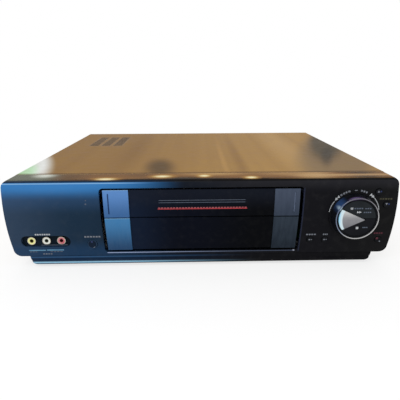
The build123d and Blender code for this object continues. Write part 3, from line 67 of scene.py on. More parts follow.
# The cover, its vents and the rear.
COVER_FRONT_Y = FRONT_Y + 21.4
COVER_Z = 95.0
CASE_MIDDLE = (0, 10, 48)
VENTS = Vector((-132.5, 70.0, COVER_Z))
VENT_PITCH = 16.5
VENT_HALF_W, VENT_HALF_D = 6.3, 36
REAR_FACE_Y = 143.7
PAN_LOW_Z = 6.0

# Prints stand this far over their surface and go this far into it. Screws, ribs and collars go in by SUNK.
PRINT_PROUD = 0.06
PRINT_SUNK = 0.15
SUNK = 0.1


def millimetres(node):
    """The lowest and highest corner of a CAD node in millimetres."""
    low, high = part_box(node)
    return low / MM, high / MM


def middle(node):
    low, high = millimetres(node)
    return (low + high) / 2


DIAL = middle("shuttle_trim")
OPERATE = middle("operate_button")
MENU = middle("menu_button")
SET = middle("set_button")
CHANNEL_UP = middle("channel_up_button")
CHANNEL_DOWN = middle("channel_down_button")
RECORD = middle("record_button")
JACKS = middle("jack_shells")


# ---------------------------------------------------------------- camera
EYE = (-5.96, FRONT_Y - 333.01, 187.99)
YAW, PITCH, ROLL = -0.0197, 0.2592, -0.0043
LENS, SENSOR = 32.86, 36.0
SHIFT_X, SHIFT_Y = -0.00622, -0.065
NEAREST = 10.0


def add_camera():
    side = Vector((math.cos(YAW), math.sin(YAW), 0))
    level = Vector((-math.sin(YAW), math.cos(YAW), 0))
    rise = level * math.sin(PITCH) + Vector((0, 0, math.cos(PITCH)))
    ahead = level * math.cos(PITCH) - Vector((0, 0, math.sin(PITCH)))
    right = side * math.cos(ROLL) + rise * math.sin(ROLL)
    top = rise * math.cos(ROLL) - side * math.sin(ROLL)
    data = bpy.data.cameras.new("camera")
    data.lens = LENS
    data.sensor_width = SENSOR
    data.shift_x = SHIFT_X
    data.shift_y = SHIFT_Y
    data.clip_start = NEAREST * MM
    camera = bpy.data.objects.new("camera", data)
    bpy.context.scene.collection.objects.link(camera)
    turned = Matrix((right, top, -ahead)).transposed().to_4x4()
    turned.translation = Vector(EYE) * MM
    camera.matrix_world = turned
    bpy.context.scene.camera = camera


# ---------------------------------------------------------------- shading tools
def tone(red, green, blue):
    """An sRGB colour from 0 to 255 as linear RGBA."""
    def linear(value):
        value /= 255
        return value / 12.92 if value <= 0.04045 else ((value + 0.055) / 1.055) ** 2.4
    return (linear(red), linear(green), linear(blue), 1)


DUST = (150, 148, 144)
BUMP_STRENGTH = 0.3
BEVEL_SAMPLES = 6
MATERIALS = {}


class Shading:
    """One material, kept in MATERIALS, with its node tree and a few short ways to add to it."""

    def __init__(self, name):
        self.material = bpy.data.materials.new(name)
        MATERIALS[name] = self.material
        self.material.use_nodes = True
        self.tree = self.material.node_tree
        self.shader = self.tree.nodes["Principled BSDF"]
        self.output = self.tree.nodes["Material Output"]
        coords = self.tree.nodes.new("ShaderNodeTexCoord")
        self.place = coords.outputs["Object"]
        self.facing = coords.outputs["Normal"]

    def set(self, socket, value):
        """Links a socket, or gives it a number or a colour of three parts from 0 to 255."""
        if isinstance(value, bpy.types.NodeSocket):
            self.tree.links.new(value, socket)
        else:
            socket.default_value = tone(*value) if isinstance(value, tuple) else value

    def moved(self, centre, reach, turn=0.0):
        """Object coordinates moved to a centre, turned about Z and scaled so that reach is 1."""
        node = self.tree.nodes.new("ShaderNodeMapping")
        node.vector_type = "TEXTURE"
        node.inputs["Rotation"].default_value = (0, 0, turn)
        node.inputs["Location"].default_value = [c * MM for c in centre]
        node.inputs["Scale"].default_value = [r * MM for r in reach]
        self.set(node.inputs["Vector"], self.place)
        return node.outputs["Vector"]

    def noise(self, size, detail=3, stretch=(1, 1, 1)):
        """Noise whose grains are about size millimetres wide."""
        node = self.tree.nodes.new("ShaderNodeTexNoise")
        node.inputs["Scale"].default_value = 1
        node.inputs["Detail"].default_value = detail
        self.set(node.inputs["Vector"], self.moved((0, 0, 0), [size * s for s in stretch]))
        return node.outputs["Fac"]

    def spread(self, value, low, high, out_low=0.0, out_high=1.0, smooth=False):
        """A value carried from one range to another, and held at the ends."""
        node = self.tree.nodes.new("ShaderNodeMapRange")
        node.interpolation_type = "SMOOTHSTEP" if smooth else "LINEAR"
        node.inputs["From Min"].default_value = low
        node.inputs["From Max"].default_value = high
        node.inputs["To Min"].default_value = out_low
        node.inputs["To Max"].default_value = out_high
        self.set(node.inputs["Value"], value)
        return node.outputs["Result"]

    def axis(self, name, start, end):
        """0 at start and 1 at end, both in millimetres along X, Y or Z."""
        node = self.tree.nodes.new("ShaderNodeSeparateXYZ")
        self.set(node.inputs["Vector"], self.place)
        return self.spread(node.outputs[name], start * MM, end * MM, smooth=True)

    def outward(self, centre):
        """1 on faces that look away from a centre in millimetres and 0 on faces that look at it."""
        away = self.tree.nodes.new("ShaderNodeVectorMath")
        away.operation = "DOT_PRODUCT"
        self.set(away.inputs[0], self.moved(centre, (1, 1, 1)))
        self.set(away.inputs[1], self.facing)
        return self.spread(away.outputs["Value"], -1, 1)

    def upward(self, low, high):
        """0 where the face's normal rises less than low and 1 where it rises more than high."""
        node = self.tree.nodes.new("ShaderNodeSeparateXYZ")
        self.set(node.inputs["Vector"], self.facing)
        return self.spread(node.outputs["Z"], low, high, smooth=True)

    def band(self, name, start, end, fade):
        """1 between start and end in millimetres along an axis, with soft ends."""
        return self.times(self.axis(name, start - fade, start), self.axis(name, end + fade, end))

    def spot(self, centre, reach, turn=0.0, core=0.0):
        """1 within the core share of reach from the centre, falling to 0 at reach on each axis."""
        node = self.tree.nodes.new("ShaderNodeTexGradient")
        node.gradient_type = "SPHERICAL"
        self.set(node.inputs["Vector"], self.moved(centre, reach, turn))
        return self.spread(node.outputs["Fac"], 0, 1 - core, smooth=True)

    def blend(self, factor, first, second):
        """The first colour where the factor is 0 and the second where it is 1."""
        node = self.tree.nodes.new("ShaderNodeMix")
        node.data_type = "RGBA"
        self.set(node.inputs["Factor"], factor)
        self.set(node.inputs["A"], first)
        self.set(node.inputs["B"], second)
        return node.outputs["Result"]

    def times(self, product, *others):
        """Masks and shares multiplied with each other."""
        for other in others:
            node = self.tree.nodes.new("ShaderNodeMath")
            node.operation = "MULTIPLY"
            self.set(node.inputs[0], product)
            self.set(node.inputs[1], other)
            product = node.outputs["Value"]
        return product

    def tint(self, colour, other, *masks):
        """The colour, turned to another one as far as all the masks and shares let it."""
        return self.blend(self.times(*masks), colour, other)

    def relief(self, height, depth, normal=None):
        """A soft bump of the given depth in millimetres, over another normal if there is one."""
        node = self.tree.nodes.new("ShaderNodeBump")
        node.inputs["Strength"].default_value = BUMP_STRENGTH
        node.inputs["Distance"].default_value = depth * MM
        self.set(node.inputs["Height"], height)
        if normal is not None:
            self.set(node.inputs["Normal"], normal)
        return node.outputs["Normal"]

    def soft_edge(self, radius):
        """A normal that rounds sharp edges by a radius in millimetres."""
        node = self.tree.nodes.new("ShaderNodeBevel")
        node.samples = BEVEL_SAMPLES
        node.inputs["Radius"].default_value = radius * MM
        return node.outputs["Normal"]

    def mottle(self, size, dark, light, detail=3, stretch=(1, 1, 1)):
        """Two tones in soft patches."""
        return self.blend(self.spread(self.noise(size, detail, stretch), 0.3, 0.7), dark, light)

    def worn(self, colour, amount, size=14.0):
        """The colour with broad, faint patches where hands and dust have dulled it."""
        dull = self.spread(self.noise(size, 5), 0.45, 0.8, 0, amount, smooth=True)
        return self.blend(dull, colour, DUST)

    def mixed(self, share, first, second):
        """Puts a mix of two shaders on the surface."""
        mix = self.tree.nodes.new("ShaderNodeMixShader")
        self.set(mix.inputs["Fac"], share)
        self.set(mix.inputs[1], first)
        self.set(mix.inputs[2], second)
        self.set(self.output.inputs["Surface"], mix.outputs["Shader"])

    def finish(self, colour, rough, metallic=0.0, specular=0.5, normal=None, shader=None):
        """Fills a shader in: colour, a roughness that wanders between two values, metal and gloss."""
        shader = shader or self.shader
        self.set(shader.inputs["Base Color"], colour)
        shader.inputs["Metallic"].default_value = metallic
        shader.inputs["Specular IOR Level"].default_value = specular
        self.set(shader.inputs["Roughness"], self.spread(self.noise(9, 4), 0.3, 0.7, *rough))
        if normal is not None:
            self.set(shader.inputs["Normal"], normal)


def moulded(name, dark, light, rough=(0.35, 0.5), metallic=0.0, specular=0.4, grain=0.5,
            depth=0.03, edge=0.0, patch=20.0, dust=0.04):
    """Plastic, paint or metal: two close tones, uneven gloss, a fine grain and light wear."""
    s = Shading(name)
    colour = s.mottle(patch, dark, light)
    if dust:
        colour = s.worn(colour, dust)
    normal = s.soft_edge(edge) if edge else None
    normal = s.relief(s.noise(grain, 2), depth, normal)
    s.finish(colour, rough, metallic, specular, normal)


def printed(name, dark, light, specular=0.1, patch=2.0, dust=0.0):
    """Screen print: even, thin and hardly worn."""
    moulded(name, dark, light, (0.45, 0.6), specular=specular, patch=patch, depth=0.005, dust=dust)


# ---------------------------------------------------------------- materials of the outside
# Painted reflections: reflections that the photograph shows in the gloss are painted into the colour
# as soft patches, which reach this far up and down.
PATCH_REACH_Z = 40
# Each patch: x, y, half width, half depth, turn about Z, share of it that is full, strength, colour.
COVER_REFLECTION_PATCHES = (
    (114, 40, 34, 300, 0, 0, 0.45, (216, 184, 136)),
    (26, -60, 5, 220, 0, 0, 0.4, (212, 172, 112)),
    (44, -60, 10, 240, 0, 0, 0.35, (130, 102, 66)),
    (-86, 0, 26, 260, 0, 0, 0.35, (128, 100, 62)),
    (192, 20, 58, 260, -0.38, 0.6, 0.75, (138, 124, 100)),
    (190, 62, 29, 180, -0.34, 0.5, 0.8, (80, 78, 66)),
    (156, -40, 10, 90, -0.35, 0.2, 0.6, (72, 68, 62)),
    (-183, -76, 21, 104, 0.37, 0.3, 1.0, (250, 255, 255)),
    (-184, -104, 17, 60, 0.4, 0.3, 0.8, (196, 246, 200)),
    (-44, -96, 23, 58, 0.09, 0.2, 0.75, (86, 74, 54)),
)
# Painted reflections on the shelf, where y counts from the front. Each patch: x, y, half width, half depth,
# strength, colour.
SHELF_REFLECTION_PATCHES = (
    (-154, 17, 17, 10, 1.0, (226, 232, 224)),
    (112, 12, 30, 30, 0.8, (204, 170, 124)),
    (160, 12, 24, 30, 0.7, (66, 56, 44)),
    (-128, 12, 28, 30, 0.5, (96, 76, 50)),
    (14, 19, 52, 9, 0.7, (206, 172, 120)),
    (82, 18, 42, 10, 0.6, (196, 162, 112)),
    (-18, 5, 64, 9, 0.85, (48, 34, 20)),
    (-58, 16, 26, 12, 0.4, (96, 74, 46)),
)
# Lamp glints on the shelf: x, y, half width, half depth.
GLINTS = ((-92, 5.0, 13, 4.2), (-38.5, 11.6, 12, 4.8), (2.5, 12.4, 7.5, 4.4), (48, 6.4, 8, 4.2))


def cover_paint():
    """Bronze metallic paint: lengthwise streaks and painted reflections above, plain sides, dark inside."""
    s = Shading("cover_paint")
    # Painted reflection: the top brightens from left to right.
    colour = s.blend(s.axis("X", -170, 150), (163, 132, 80), (190, 156, 100))
    sides = s.mottle(40, (146, 118, 76), (160, 131, 86))
    streaks = s.spread(s.noise(15, 3, (1, 40, 1)), 0.35, 0.7, 0, 0.16)
    colour = s.tint(colour, (138, 108, 66), streaks)
    # Painted reflection patches on the top, some light and some dark.
    for x, y, wide, deep, turn, core, share, shade in COVER_REFLECTION_PATCHES:
        patch = s.spot((x, y, COVER_Z), (wide, deep, PATCH_REACH_Z), turn, core)
        colour = s.tint(colour, shade, patch, share)
    # Painted shade: a dark band along the front edge where the cover meets the shelf.
    seam_shade = s.axis("Y", COVER_FRONT_Y + 5.5, COVER_FRONT_Y + 2.5)
    colour = s.tint(colour, (70, 50, 30), seam_shade, 0.5)
    rows = s.band("Y", VENTS.y - VENT_HALF_D, VENTS.y + VENT_HALF_D, 4)
    for step in (-1, 0, 1):
        x = VENTS.x + step * VENT_PITCH
        column = s.band("X", x - VENT_HALF_W, x + VENT_HALF_W, 1.5)
        colour = s.tint(colour, (168, 148, 126), column, rows, 0.75)
    colour = s.worn(s.tint(sides, colour, s.upward(0.5, 0.9)), 0.04)
    colour = s.blend(s.outward(CASE_MIDDLE), (38, 38, 40), colour)
    normal = s.relief(s.noise(0.6, 2), 0.02, s.soft_edge(0.5))
    s.shader.inputs["Specular Tint"].default_value = tone(120, 92, 56)
    s.finish(colour, (0.34, 0.44), metallic=0.6, specular=0.1, normal=normal)


def fascia_black():
    """Gloss black with a painted blue reflection over its left half and the shelf's painted bronze reflection
    along its top.
    """
    s = Shading("fascia_black")
    # Painted reflection: navy on the left, fading to near black toward the right.
    colour = s.blend(s.axis("X", -200, -120), (44, 60, 80), (24, 42, 60))
    for start, end, shade in ((-125, -20, (14, 20, 30)), (-20, 80, (17, 17, 21)), (110, 190, (19, 19, 20))):
        colour = s.tint(colour, shade, s.axis("X", start, end))
    colour = blue_sheen(s, colour)
    # Painted shade: the socket recess darkens toward its floor.
    pit_shade = [s.band("X", *SOCKET_PIT_X, 0.3), s.band("Z", *SOCKET_PIT_Z, 0.3)]
    colour = s.tint(colour, (7, 14, 18), s.axis("Y", SOCKET_PIT_Y - 0.8, SOCKET_PIT_Y), *pit_shade, 0.85)
    # Painted sheen: a lighter grey along the top of the right half.
    colour = s.tint(colour, (36, 36, 40), s.axis("Z", 80, 91), s.axis("X", -40, 60), 0.7)
    colour = plinth_lines(s, colour)
    colour = door_lines(s, colour)
    gleam = s.times(s.band("Z", 91.1, 91.6, 0.4), s.axis("X", -40, -90))
    colour = s.tint(colour, (130, 170, 204), gleam, 0.75)
    # Painted shade: a dark band along the rounded top edge under the shelf.
    colour = s.tint(colour, (16, 15, 16), s.axis("Z", 91.9, 92.5), 0.9)
    colour = s.worn(colour, 0.015, 8.0)
    normal = s.relief(s.noise(0.5, 2), 0.01, s.soft_edge(0.7))
    s.finish(colour, (0.2, 0.3), specular=0.03, normal=normal)
    shelf_over(s)


def blue_sheen(s, colour):
    """Window light on the left of the fascia, strongest under the shelf."""
    left = s.axis("X", -14, -102)
    colour = s.tint(colour, (52, 132, 202), s.axis("Z", 74, 90), left, 0.9)
    colour = s.tint(colour, (64, 138, 206), s.spot((-140, FRONT_Y, 88), (70, 60, 9)), 0.4)
    colour = s.tint(colour, (50, 82, 122), s.axis("Z", 58, 80), left, 0.4)
    return s.tint(colour, (29, 58, 90), s.axis("Z", 34, 18), left, 0.6)


def plinth_lines(s, colour):
    """The plinth's deeper tone and the two lines of light along its left."""
    deep = s.blend(s.axis("X", -60, 60), (12, 26, 46), (14, 14, 16))
    colour = s.tint(colour, deep, s.band("Z", 0, PLINTH_TOP_Z, 0.5), 0.6)
    left = s.times(s.axis("X", 60, -110), 0.85)
    colour = s.tint(colour, (140, 186, 212), s.band("Z", LIP_Z - 0.3, LIP_Z + 0.5, 0.7), left)
    return s.tint(colour, (58, 98, 140), s.band("Z", PLINTH_TOP_Z - 2.2, PLINTH_TOP_Z - 1.2, 0.7), left, 0.5)


def door_lines(s, colour):
    """Light on the sill under the door and on the door's right jamb."""
    sill = s.times(s.band("Z", SILL_Z - 1.0, SILL_Z - 0.5, 0.5),
                   s.band("X", 3 - DOOR_HALF_W, DOOR_HALF_W - 4, 1.5))
    colour = s.tint(colour, s.blend(s.axis("X", -90, 60), (150, 164, 196), (66, 74, 92)), sill, 0.9)
    jamb = s.times(s.band("X", DOOR_HALF_W, DOOR_HALF_W + 0.7, 0.5), s.band("Z", SILL_Z, DOOR_TOP_Z - 3, 3))
    colour = s.tint(colour, (46, 52, 74), jamb, 0.5)
    return s.tint(colour, (176, 180, 196), s.spot((94, FRONT_Y + 6, SILL_Z - 0.6), (1.8, 9, 1.2)))


def shelf_over(s):
    """Puts the shelf's bronze, a painted reflection of warm light with painted patches, shade and glints,
    over the upward faces at the top of the fascia.
    """
    def patch(x, y, wide, deep):
        return s.spot((x, FRONT_Y + y, SHELF_Z), (wide, deep, PATCH_REACH_Z))

    bronze = s.mottle(30, (150, 114, 62), (128, 96, 54), 4, (3, 1, 1))
    # Painted reflection: paler grey at the left end.
    bronze = s.tint(bronze, (122, 128, 116), s.axis("X", -128, -152))
    for x, y, wide, deep, share, shade in SHELF_REFLECTION_PATCHES:
        bronze = s.tint(bronze, shade, patch(x, y, wide, deep), share)
    # Painted shade: the front edge is dark, most of all in the middle.
    right = s.spread(s.axis("X", 55, 85), 0, 1, 0.88, 0.4)
    left = s.spread(s.axis("X", -95, -125), 0, 1, 1, 0.45)
    bronze = s.tint(bronze, (24, 19, 16), s.axis("Y", FRONT_Y + 6.4, FRONT_Y + 3.4), right, left)
    # Painted reflection: a dark streak on the right.
    bronze = s.tint(bronze, (88, 56, 38), patch(152, 19.5, 30, 4), 0.8)
    # Painted highlight: a light line along the lip on the right.
    lip = s.times(s.band("Y", FRONT_Y + 9.6, FRONT_Y + 13.6, 1.6), s.axis("X", 70, 120))
    bronze = s.tint(bronze, (200, 168, 126), lip, 0.75)
    for x, y, wide, deep in GLINTS:
        bronze = s.tint(bronze, (216, 170, 90), patch(x, y, 1.6 * wide, 1.9 * deep), 0.8)
        bronze = s.tint(bronze, (255, 248, 206), patch(x, y, wide, deep))
    shelf = s.tree.nodes.new("ShaderNodeBsdfPrincipled")
    shelf.inputs["Specular Tint"].default_value = tone(110, 84, 50)
    smooth = s.relief(s.noise(2.5, 2), 0.004)
    s.finish(bronze, (0.24, 0.32), metallic=0.5, specular=0.1, normal=smooth, shader=shelf)
    share = s.times(s.upward(0.86, 0.97), s.axis("Z", SHELF_LOW_Z, SHELF_LOW_Z + 1))
    s.mixed(share, s.shader.outputs["BSDF"], shelf.outputs["BSDF"])


def smoked_panel():
    """Almost black clear plastic, with a painted blue reflection at its left end and a painted lighter sheen
    toward the top.
    """
    s = Shading("smoked_panel")
    colour = s.blend(s.axis("X", -80, -20), (18, 28, 46), (9, 12, 22))
    colour = s.tint(colour, (7, 8, 11), s.axis("X", -20, 60))
    colour = s.tint(colour, (24, 28, 38), s.axis("Z", 60, 82), 0.6)
    colour = s.worn(colour, 0.008, 6.0)
    normal = s.relief(s.noise(1.5, 2), 0.004, s.soft_edge(0.4))
    s.finish(colour, (0.08, 0.16), specular=0.02, normal=normal)


def end_cap(name, left_top, left_low, right_top, right_low, low, high, grooved=False):
    """Satin gunmetal caps between two heights, with a painted blue reflection on the left, painted shade
    toward the bottom and a painted highlight along the top.
    """
    s = Shading(name)
    left = s.blend(s.axis("Z", low, high), left_low, left_top)
    right = s.blend(s.axis("Z", low, high), right_low, right_top)
    colour = s.blend(s.axis("X", -50, 50), left, right)
    colour = s.tint(colour, (120, 140, 160), s.spread(s.noise(3, 4, (1, 1, 6)), 0.3, 0.8, 0, 0.06))
    # Painted highlight along the top edge, strongest on the left.
    colour = s.tint(colour, (150, 190, 220), s.axis("Z", high - 0.7, high - 0.2), s.axis("X", 90, -90), 0.4)
    # Painted grooves: a dark shaded line on the left cap and a lit light line on the right one.
    if grooved:
        for x, shade in ((-GROOVE_X, (22, 40, 84)), (GROOVE_X, (104, 116, 140))):
            groove = s.times(s.band("X", x - 0.4, x + 0.4, 0.3), s.band("Z", low + 4, high - 4, 0.5))
            colour = s.tint(colour, shade, groove, 0.8)
    normal = s.relief(s.noise(0.35, 3), 0.03, s.soft_edge(0.4))
    s.finish(colour, (0.4, 0.52), specular=0.04, normal=normal)


def play_silver():
    """Satin silver with painted light: lighter toward the top, darker toward the bottom, and the sloped left
    edge catching a cold light.
    """
    s = Shading("key_silver")
    colour = s.mottle(6, (118, 118, 122), (130, 130, 134))
    colour = s.tint(colour, (184, 185, 184), s.axis("Z", DIAL.z - 2, DIAL.z + 9))
    colour = s.tint(colour, (98, 98, 103), s.axis("Z", DIAL.z - 2, DIAL.z - 12))
    facet = s.spread(s.spot((DIAL.x + 6, DIAL.y, DIAL.z - 0.5), (42, 200, 42)), 0.535, 0.505)
    cold = s.blend(s.axis("X", DIAL.x - 19, DIAL.x - 15), (120, 196, 232), (196, 214, 220))
    colour = s.tint(colour, cold, facet)
    normal = s.relief(s.noise(0.3, 3), 0.02, s.soft_edge(0.4))
    s.finish(colour, (0.35, 0.45), specular=0.15, normal=normal)


def ring_black():
    """The jog ring's black, with a painted blue sheen and a small painted highlight on its upper left flank
    and a painted violet sheen on top.
    """
    s = Shading("ring_black")
    colour = s.mottle(8, (12, 13, 18), (18, 19, 24))
    x, y, z = DIAL.x - 15.5, FRONT_Y - 5, DIAL.z + 12
    colour = s.tint(colour, (58, 96, 156), s.spot((x, y, z), (8, 30, 11)), 0.4)
    colour = s.tint(colour, (205, 232, 246), s.spot((x - 1, y, z - 2), (3.4, 30, 3.4)))
    violet = s.spot((DIAL.x - 4, FRONT_Y - 9, DIAL.z + 20.5), (13, 3, 4))
    colour = s.tint(colour, (120, 98, 150), violet, 0.6)
    normal = s.relief(s.noise(0.4, 2), 0.015, s.soft_edge(0.5))
    s.finish(colour, (0.16, 0.26), specular=0.05, normal=normal)


def trim_silver():
    """A bright ring with painted light: strongest at the lower right, dimmer toward the top, with a painted
    blue reflection on the left.
    """
    s = Shading("trim_silver")
    colour = s.blend(s.axis("Z", DIAL.z + 21, DIAL.z - 5), (104, 102, 110), (178, 178, 178))
    colour = s.tint(colour, (70, 90, 124), s.axis("X", DIAL.x - 6, DIAL.x - 20), 0.8)
    colour = s.worn(colour, 0.1, 3.0)
    normal = s.relief(s.noise(0.3, 2), 0.01, s.soft_edge(0.3))
    s.finish(colour, (0.22, 0.34), metallic=0.4, specular=0.3, normal=normal)


def socket_insert(name, node, colour, bore_shade):
    """The coloured insert of a front socket, with painted shade round its bore."""
    s = Shading(name)
    face = s.blend(s.spread(s.noise(3), 0.3, 0.7, 0, 0.3), colour, (236, 234, 214))
    face = s.tint(face, bore_shade, s.spread(s.spot(middle(node), (2.6, 40, 2.6)), 0, 0.25))
    s.finish(face, (0.3, 0.45), specular=0.3)


# ---------------------------------------------------------------- all finishes by name
def make_finishes():
    cover_paint()
    fascia_black()
    smoked_panel()
    play_silver()
    ring_black()
    trim_silver()
    end_cap("flap_caps", (84, 126, 182), (54, 92, 140), (60, 68, 84), (46, 54, 68), 56.2, 84.2, grooved=True)
    end_cap("window_caps", (60, 114, 160), (34, 64, 98), (38, 46, 56), (22, 29, 38), 18, 55.1)
    socket_insert("yellow_insert", "video_jack_insert", (222, 218, 128), (74, 70, 24))
    socket_insert("white_insert", "audio_left_jack_insert", (214, 217, 210), (66, 72, 58))
    socket_insert("red_insert", "audio_right_jack_insert", (186, 70, 88), (90, 20, 28))
    # plastics, rubber, glass and felt
    # Painted light: the two dial keys are one black plastic, the upper one painted lit and the lower one
    # painted shaded.
    moulded("upper_key_lit", (28, 31, 34), (38, 42, 45), specular=0.04, dust=0.0, edge=0.4)
    moulded("lower_key_shaded", (17, 18, 22), (23, 24, 28), specular=0.04, dust=0.0, edge=0.4)
    moulded("button_black", (12, 13, 16), (20, 21, 25), (0.25, 0.38), specular=0.04, dust=0.01, edge=0.3)
    # Painted reflection: the buttons' black plastic tinted blue like the painted window light beside it.
    moulded("operate_black_painted_blue", (12, 22, 36), (20, 32, 48), (0.25, 0.38), specular=0.04, dust=0.0, edge=0.3)
    moulded("black_plastic", (14, 15, 17), (22, 23, 25), specular=0.08, edge=0.3)
    moulded("reel_plastic", (206, 204, 196), (220, 218, 211), (0.35, 0.5), patch=10.0, edge=0.3, dust=0.06)
    moulded("switch_body", (36, 37, 40), (52, 53, 56), (0.45, 0.6), edge=0.2)
    moulded("chip_black", (24, 24, 26), (36, 36, 38), (0.5, 0.65), grain=0.4, depth=0.04)
    moulded("can_blue", (26, 44, 92), (36, 58, 112), (0.28, 0.42), patch=8.0, edge=0.3)
    moulded("tube_glass", (22, 34, 36), (34, 50, 52), (0.06, 0.14), specular=0.5, grain=3.0, depth=0.01,
            dust=0.02)
    moulded("rubber", (17, 17, 18), (26, 26, 27), (0.65, 0.85), specular=0.25, grain=0.8, depth=0.08,
            dust=0.1)
    # The felt of the dark strips that shade the door gaps.
    moulded("felt", (8, 9, 12), (14, 15, 18), (0.8, 0.95), specular=0.02, grain=0.4, depth=0.1, dust=0.0)
    moulded("label_paper", (196, 196, 190), (210, 209, 203), (0.5, 0.65), specular=0.2, patch=12.0, grain=0.4,
            depth=0.02, dust=0.1)
    # boards
    moulded("board_dark", (12, 16, 16), (20, 24, 24), (0.5, 0.65), specular=0.1, patch=7.0, grain=1.2,
            depth=0.05, dust=0.02)
    moulded("board_brown", (148, 112, 62), (170, 132, 80), (0.5, 0.65), patch=7.0, grain=1.2, depth=0.05,
            dust=0.08)
    moulded("board_green", (22, 78, 44), (34, 98, 58), (0.35, 0.5), patch=6.0, grain=1.0, depth=0.05,
            dust=0.05)
    # metals
    moulded("steel_sheet", (150, 152, 154), (172, 173, 174), (0.3, 0.48), metallic=0.85, patch=9.0,
            depth=0.02, edge=0.3, dust=0.08)
    moulded("bright_steel", (186, 187, 190), (206, 206, 208), (0.16, 0.28), metallic=0.95, patch=6.0,
            depth=0.008, edge=0.2, dust=0.03)
    moulded("drum_aluminium", (190, 191, 193), (208, 209, 210), (0.12, 0.22), metallic=0.95, patch=5.0,
            depth=0.006, edge=0.2, dust=0.02)
    moulded("sink_aluminium", (158, 160, 163), (178, 180, 182), (0.35, 0.5), metallic=0.85, patch=12.0,
            edge=0.2)
    moulded("case_tinned", (168, 170, 170), (190, 191, 190), (0.28, 0.44), metallic=0.9, patch=7.0, edge=0.3,
            dust=0.1)
    moulded("nickel", (176, 172, 160), (200, 196, 184), (0.14, 0.26), metallic=0.95, patch=3.0, depth=0.006,
            edge=0.15)
    moulded("brass_bearing", (168, 138, 78), (190, 160, 98), (0.24, 0.38), metallic=0.9, patch=4.0,
            depth=0.02, edge=0.2)
    moulded("core_iron", (70, 68, 66), (96, 93, 90), (0.45, 0.6), metallic=0.6, patch=5.0, depth=0.08,
            edge=0.2, dust=0.12)
    moulded("ferrite", (44, 44, 47), (58, 58, 61), (0.3, 0.45), patch=1.5, depth=0.01)
    # prints, and painted catch lights and sheens in the same thin finish
    printed("print_grey", (150, 154, 158), (176, 179, 182), 0.2)
    printed("print_dim", (66, 74, 88), (84, 92, 106), 0.2)
    # Used for print and for painted catch lights and highlights.
    printed("print_soft_and_highlight", (96, 100, 108), (118, 122, 130))
    printed("print_blue", (78, 120, 150), (100, 146, 172), patch=6.0)
    printed("print_olive", (54, 53, 40), (70, 68, 52))
    printed("print_maroon", (72, 34, 44), (96, 46, 56))
    # Painted navy sheen and glow on the operate and channel buttons.
    printed("painted_navy_sheen", (34, 44, 78), (48, 60, 100))
    printed("print_ring", (34, 54, 76), (44, 66, 90), 0.05)
    printed("print_rose", (126, 66, 72), (148, 84, 88))
    printed("print_red", (150, 40, 48), (176, 58, 62), 0.2)
    printed("ink", (38, 38, 42), (56, 56, 60), patch=3.0, dust=0.02)


# A node takes the finish named as its slot in the record, unless its slot or the node itself is here.
SLOT_FINISH = {
    "screw_black": "black_plastic", "inlet_black": "black_plastic", "gunmetal_plastic": "flap_caps",
}
NODE_FINISH = {
    "front_panel": "fascia_black", "display_end_caps": "window_caps", "operate_button": "operate_black_painted_blue",
    "pause_button": "upper_key_lit", "stop_button": "lower_key_shaded", "shuttle_ring": "ring_black",
    "dial_core": "button_black", "display_board": "board_dark", "control_board": "board_dark",
    "jack_board": "board_dark",
}


def dress_cad_nodes():
    for part in frame["record"]["subparts"]:
        node, slot = part["node"], part["material_slot"]
        finish = NODE_FINISH.get(node) or SLOT_FINISH.get(slot, slot)
        nodes[node].data.materials.clear()
        nodes[node].data.materials.append(MATERIALS[finish])


# ---------------------------------------------------------------- mesh tools
def new_piece(name, shape, finish, body, smooth=False):
    """Turns a bmesh in millimetres into a named piece, parented to the empty named for a body."""
    bmesh.ops.recalc_face_normals(shape, faces=shape.faces)
    mesh = bpy.data.meshes.new(name)
    for v in shape.verts:
        v.co *= MM
    shape.to_mesh(mesh)
    shape.free()
    piece = bpy.data.objects.new(name, mesh)
    bpy.context.scene.collection.objects.link(piece)
    mesh.materials.append(MATERIALS[finish])
    for face in mesh.polygons:
        face.use_smooth = smooth
    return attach(piece, body)


def around(ring):
    """Each item of a closed ring with the one after it."""
    return list(zip(ring, ring[1:] + ring[:1]))


def join(shape, rings):
    """Joins each ring of points to the next one with faces."""
    for first, second in zip(rings, rings[1:]):
        for (a, b), (c, d) in zip(around(first), around(second)):
            shape.faces.new((a, b, d, c))


def skin(shape, rings):
    """Joins the rings and closes the first and the last."""
    join(shape, rings)
    shape.faces.new(rings[0])
    shape.faces.new(rings[-1][::-1])


def add_prism(shape, outline, depth_at, proud=PRINT_PROUD, sunk=PRINT_SUNK):
    """Adds a thin prism on a surface: outline in x and z, depth_at(x, z) gives the surface's y."""
    skin(shape, [[shape.verts.new((x, depth_at(x, z) + rise, z)) for x, z in outline]
                 for rise in (-proud, sunk)])


def lathe(shape, x, z, profile, sides=32):
    """Turns a closed profile of (radius, y) pairs about an axis along Y."""
    rings = [[shape.verts.new((a, y, b)) for a, b in disc(x, z, r, sides)] for r, y in profile]
    join(shape, rings + rings[:1])


# ---------------------------------------------------------------- outlines
# Outlines are lists of corners in x and z, or across and along a panel.
BLOCK_SHARE = 0.72


def bar(x, z, width, height):
    w, h = width / 2, height / 2
    return [(x - w, z - h), (x + w, z - h), (x + w, z + h), (x - w, z + h)]


def blocks(x, z, width, height, count=1):
    """A plain bar, or a row of short blocks as wide as a printed word, with no letters in it."""
    if count == 1:
        return [bar(x, z, width, height)]
    pitch = width / count
    return [bar(x - width / 2 + pitch * (i + 0.5), z, pitch * BLOCK_SHARE, height) for i in range(count)]


def pointer(x, z, width, height, turn=0.0):
    """A triangle pointing along +x, turned about its middle by an angle in radians."""
    corners = [(width / 2, 0), (-width / 2, height / 2), (-width / 2, -height / 2)]
    c, s = math.cos(turn), math.sin(turn)
    return [(x + c * a - s * b, z + s * a + c * b) for a, b in corners]


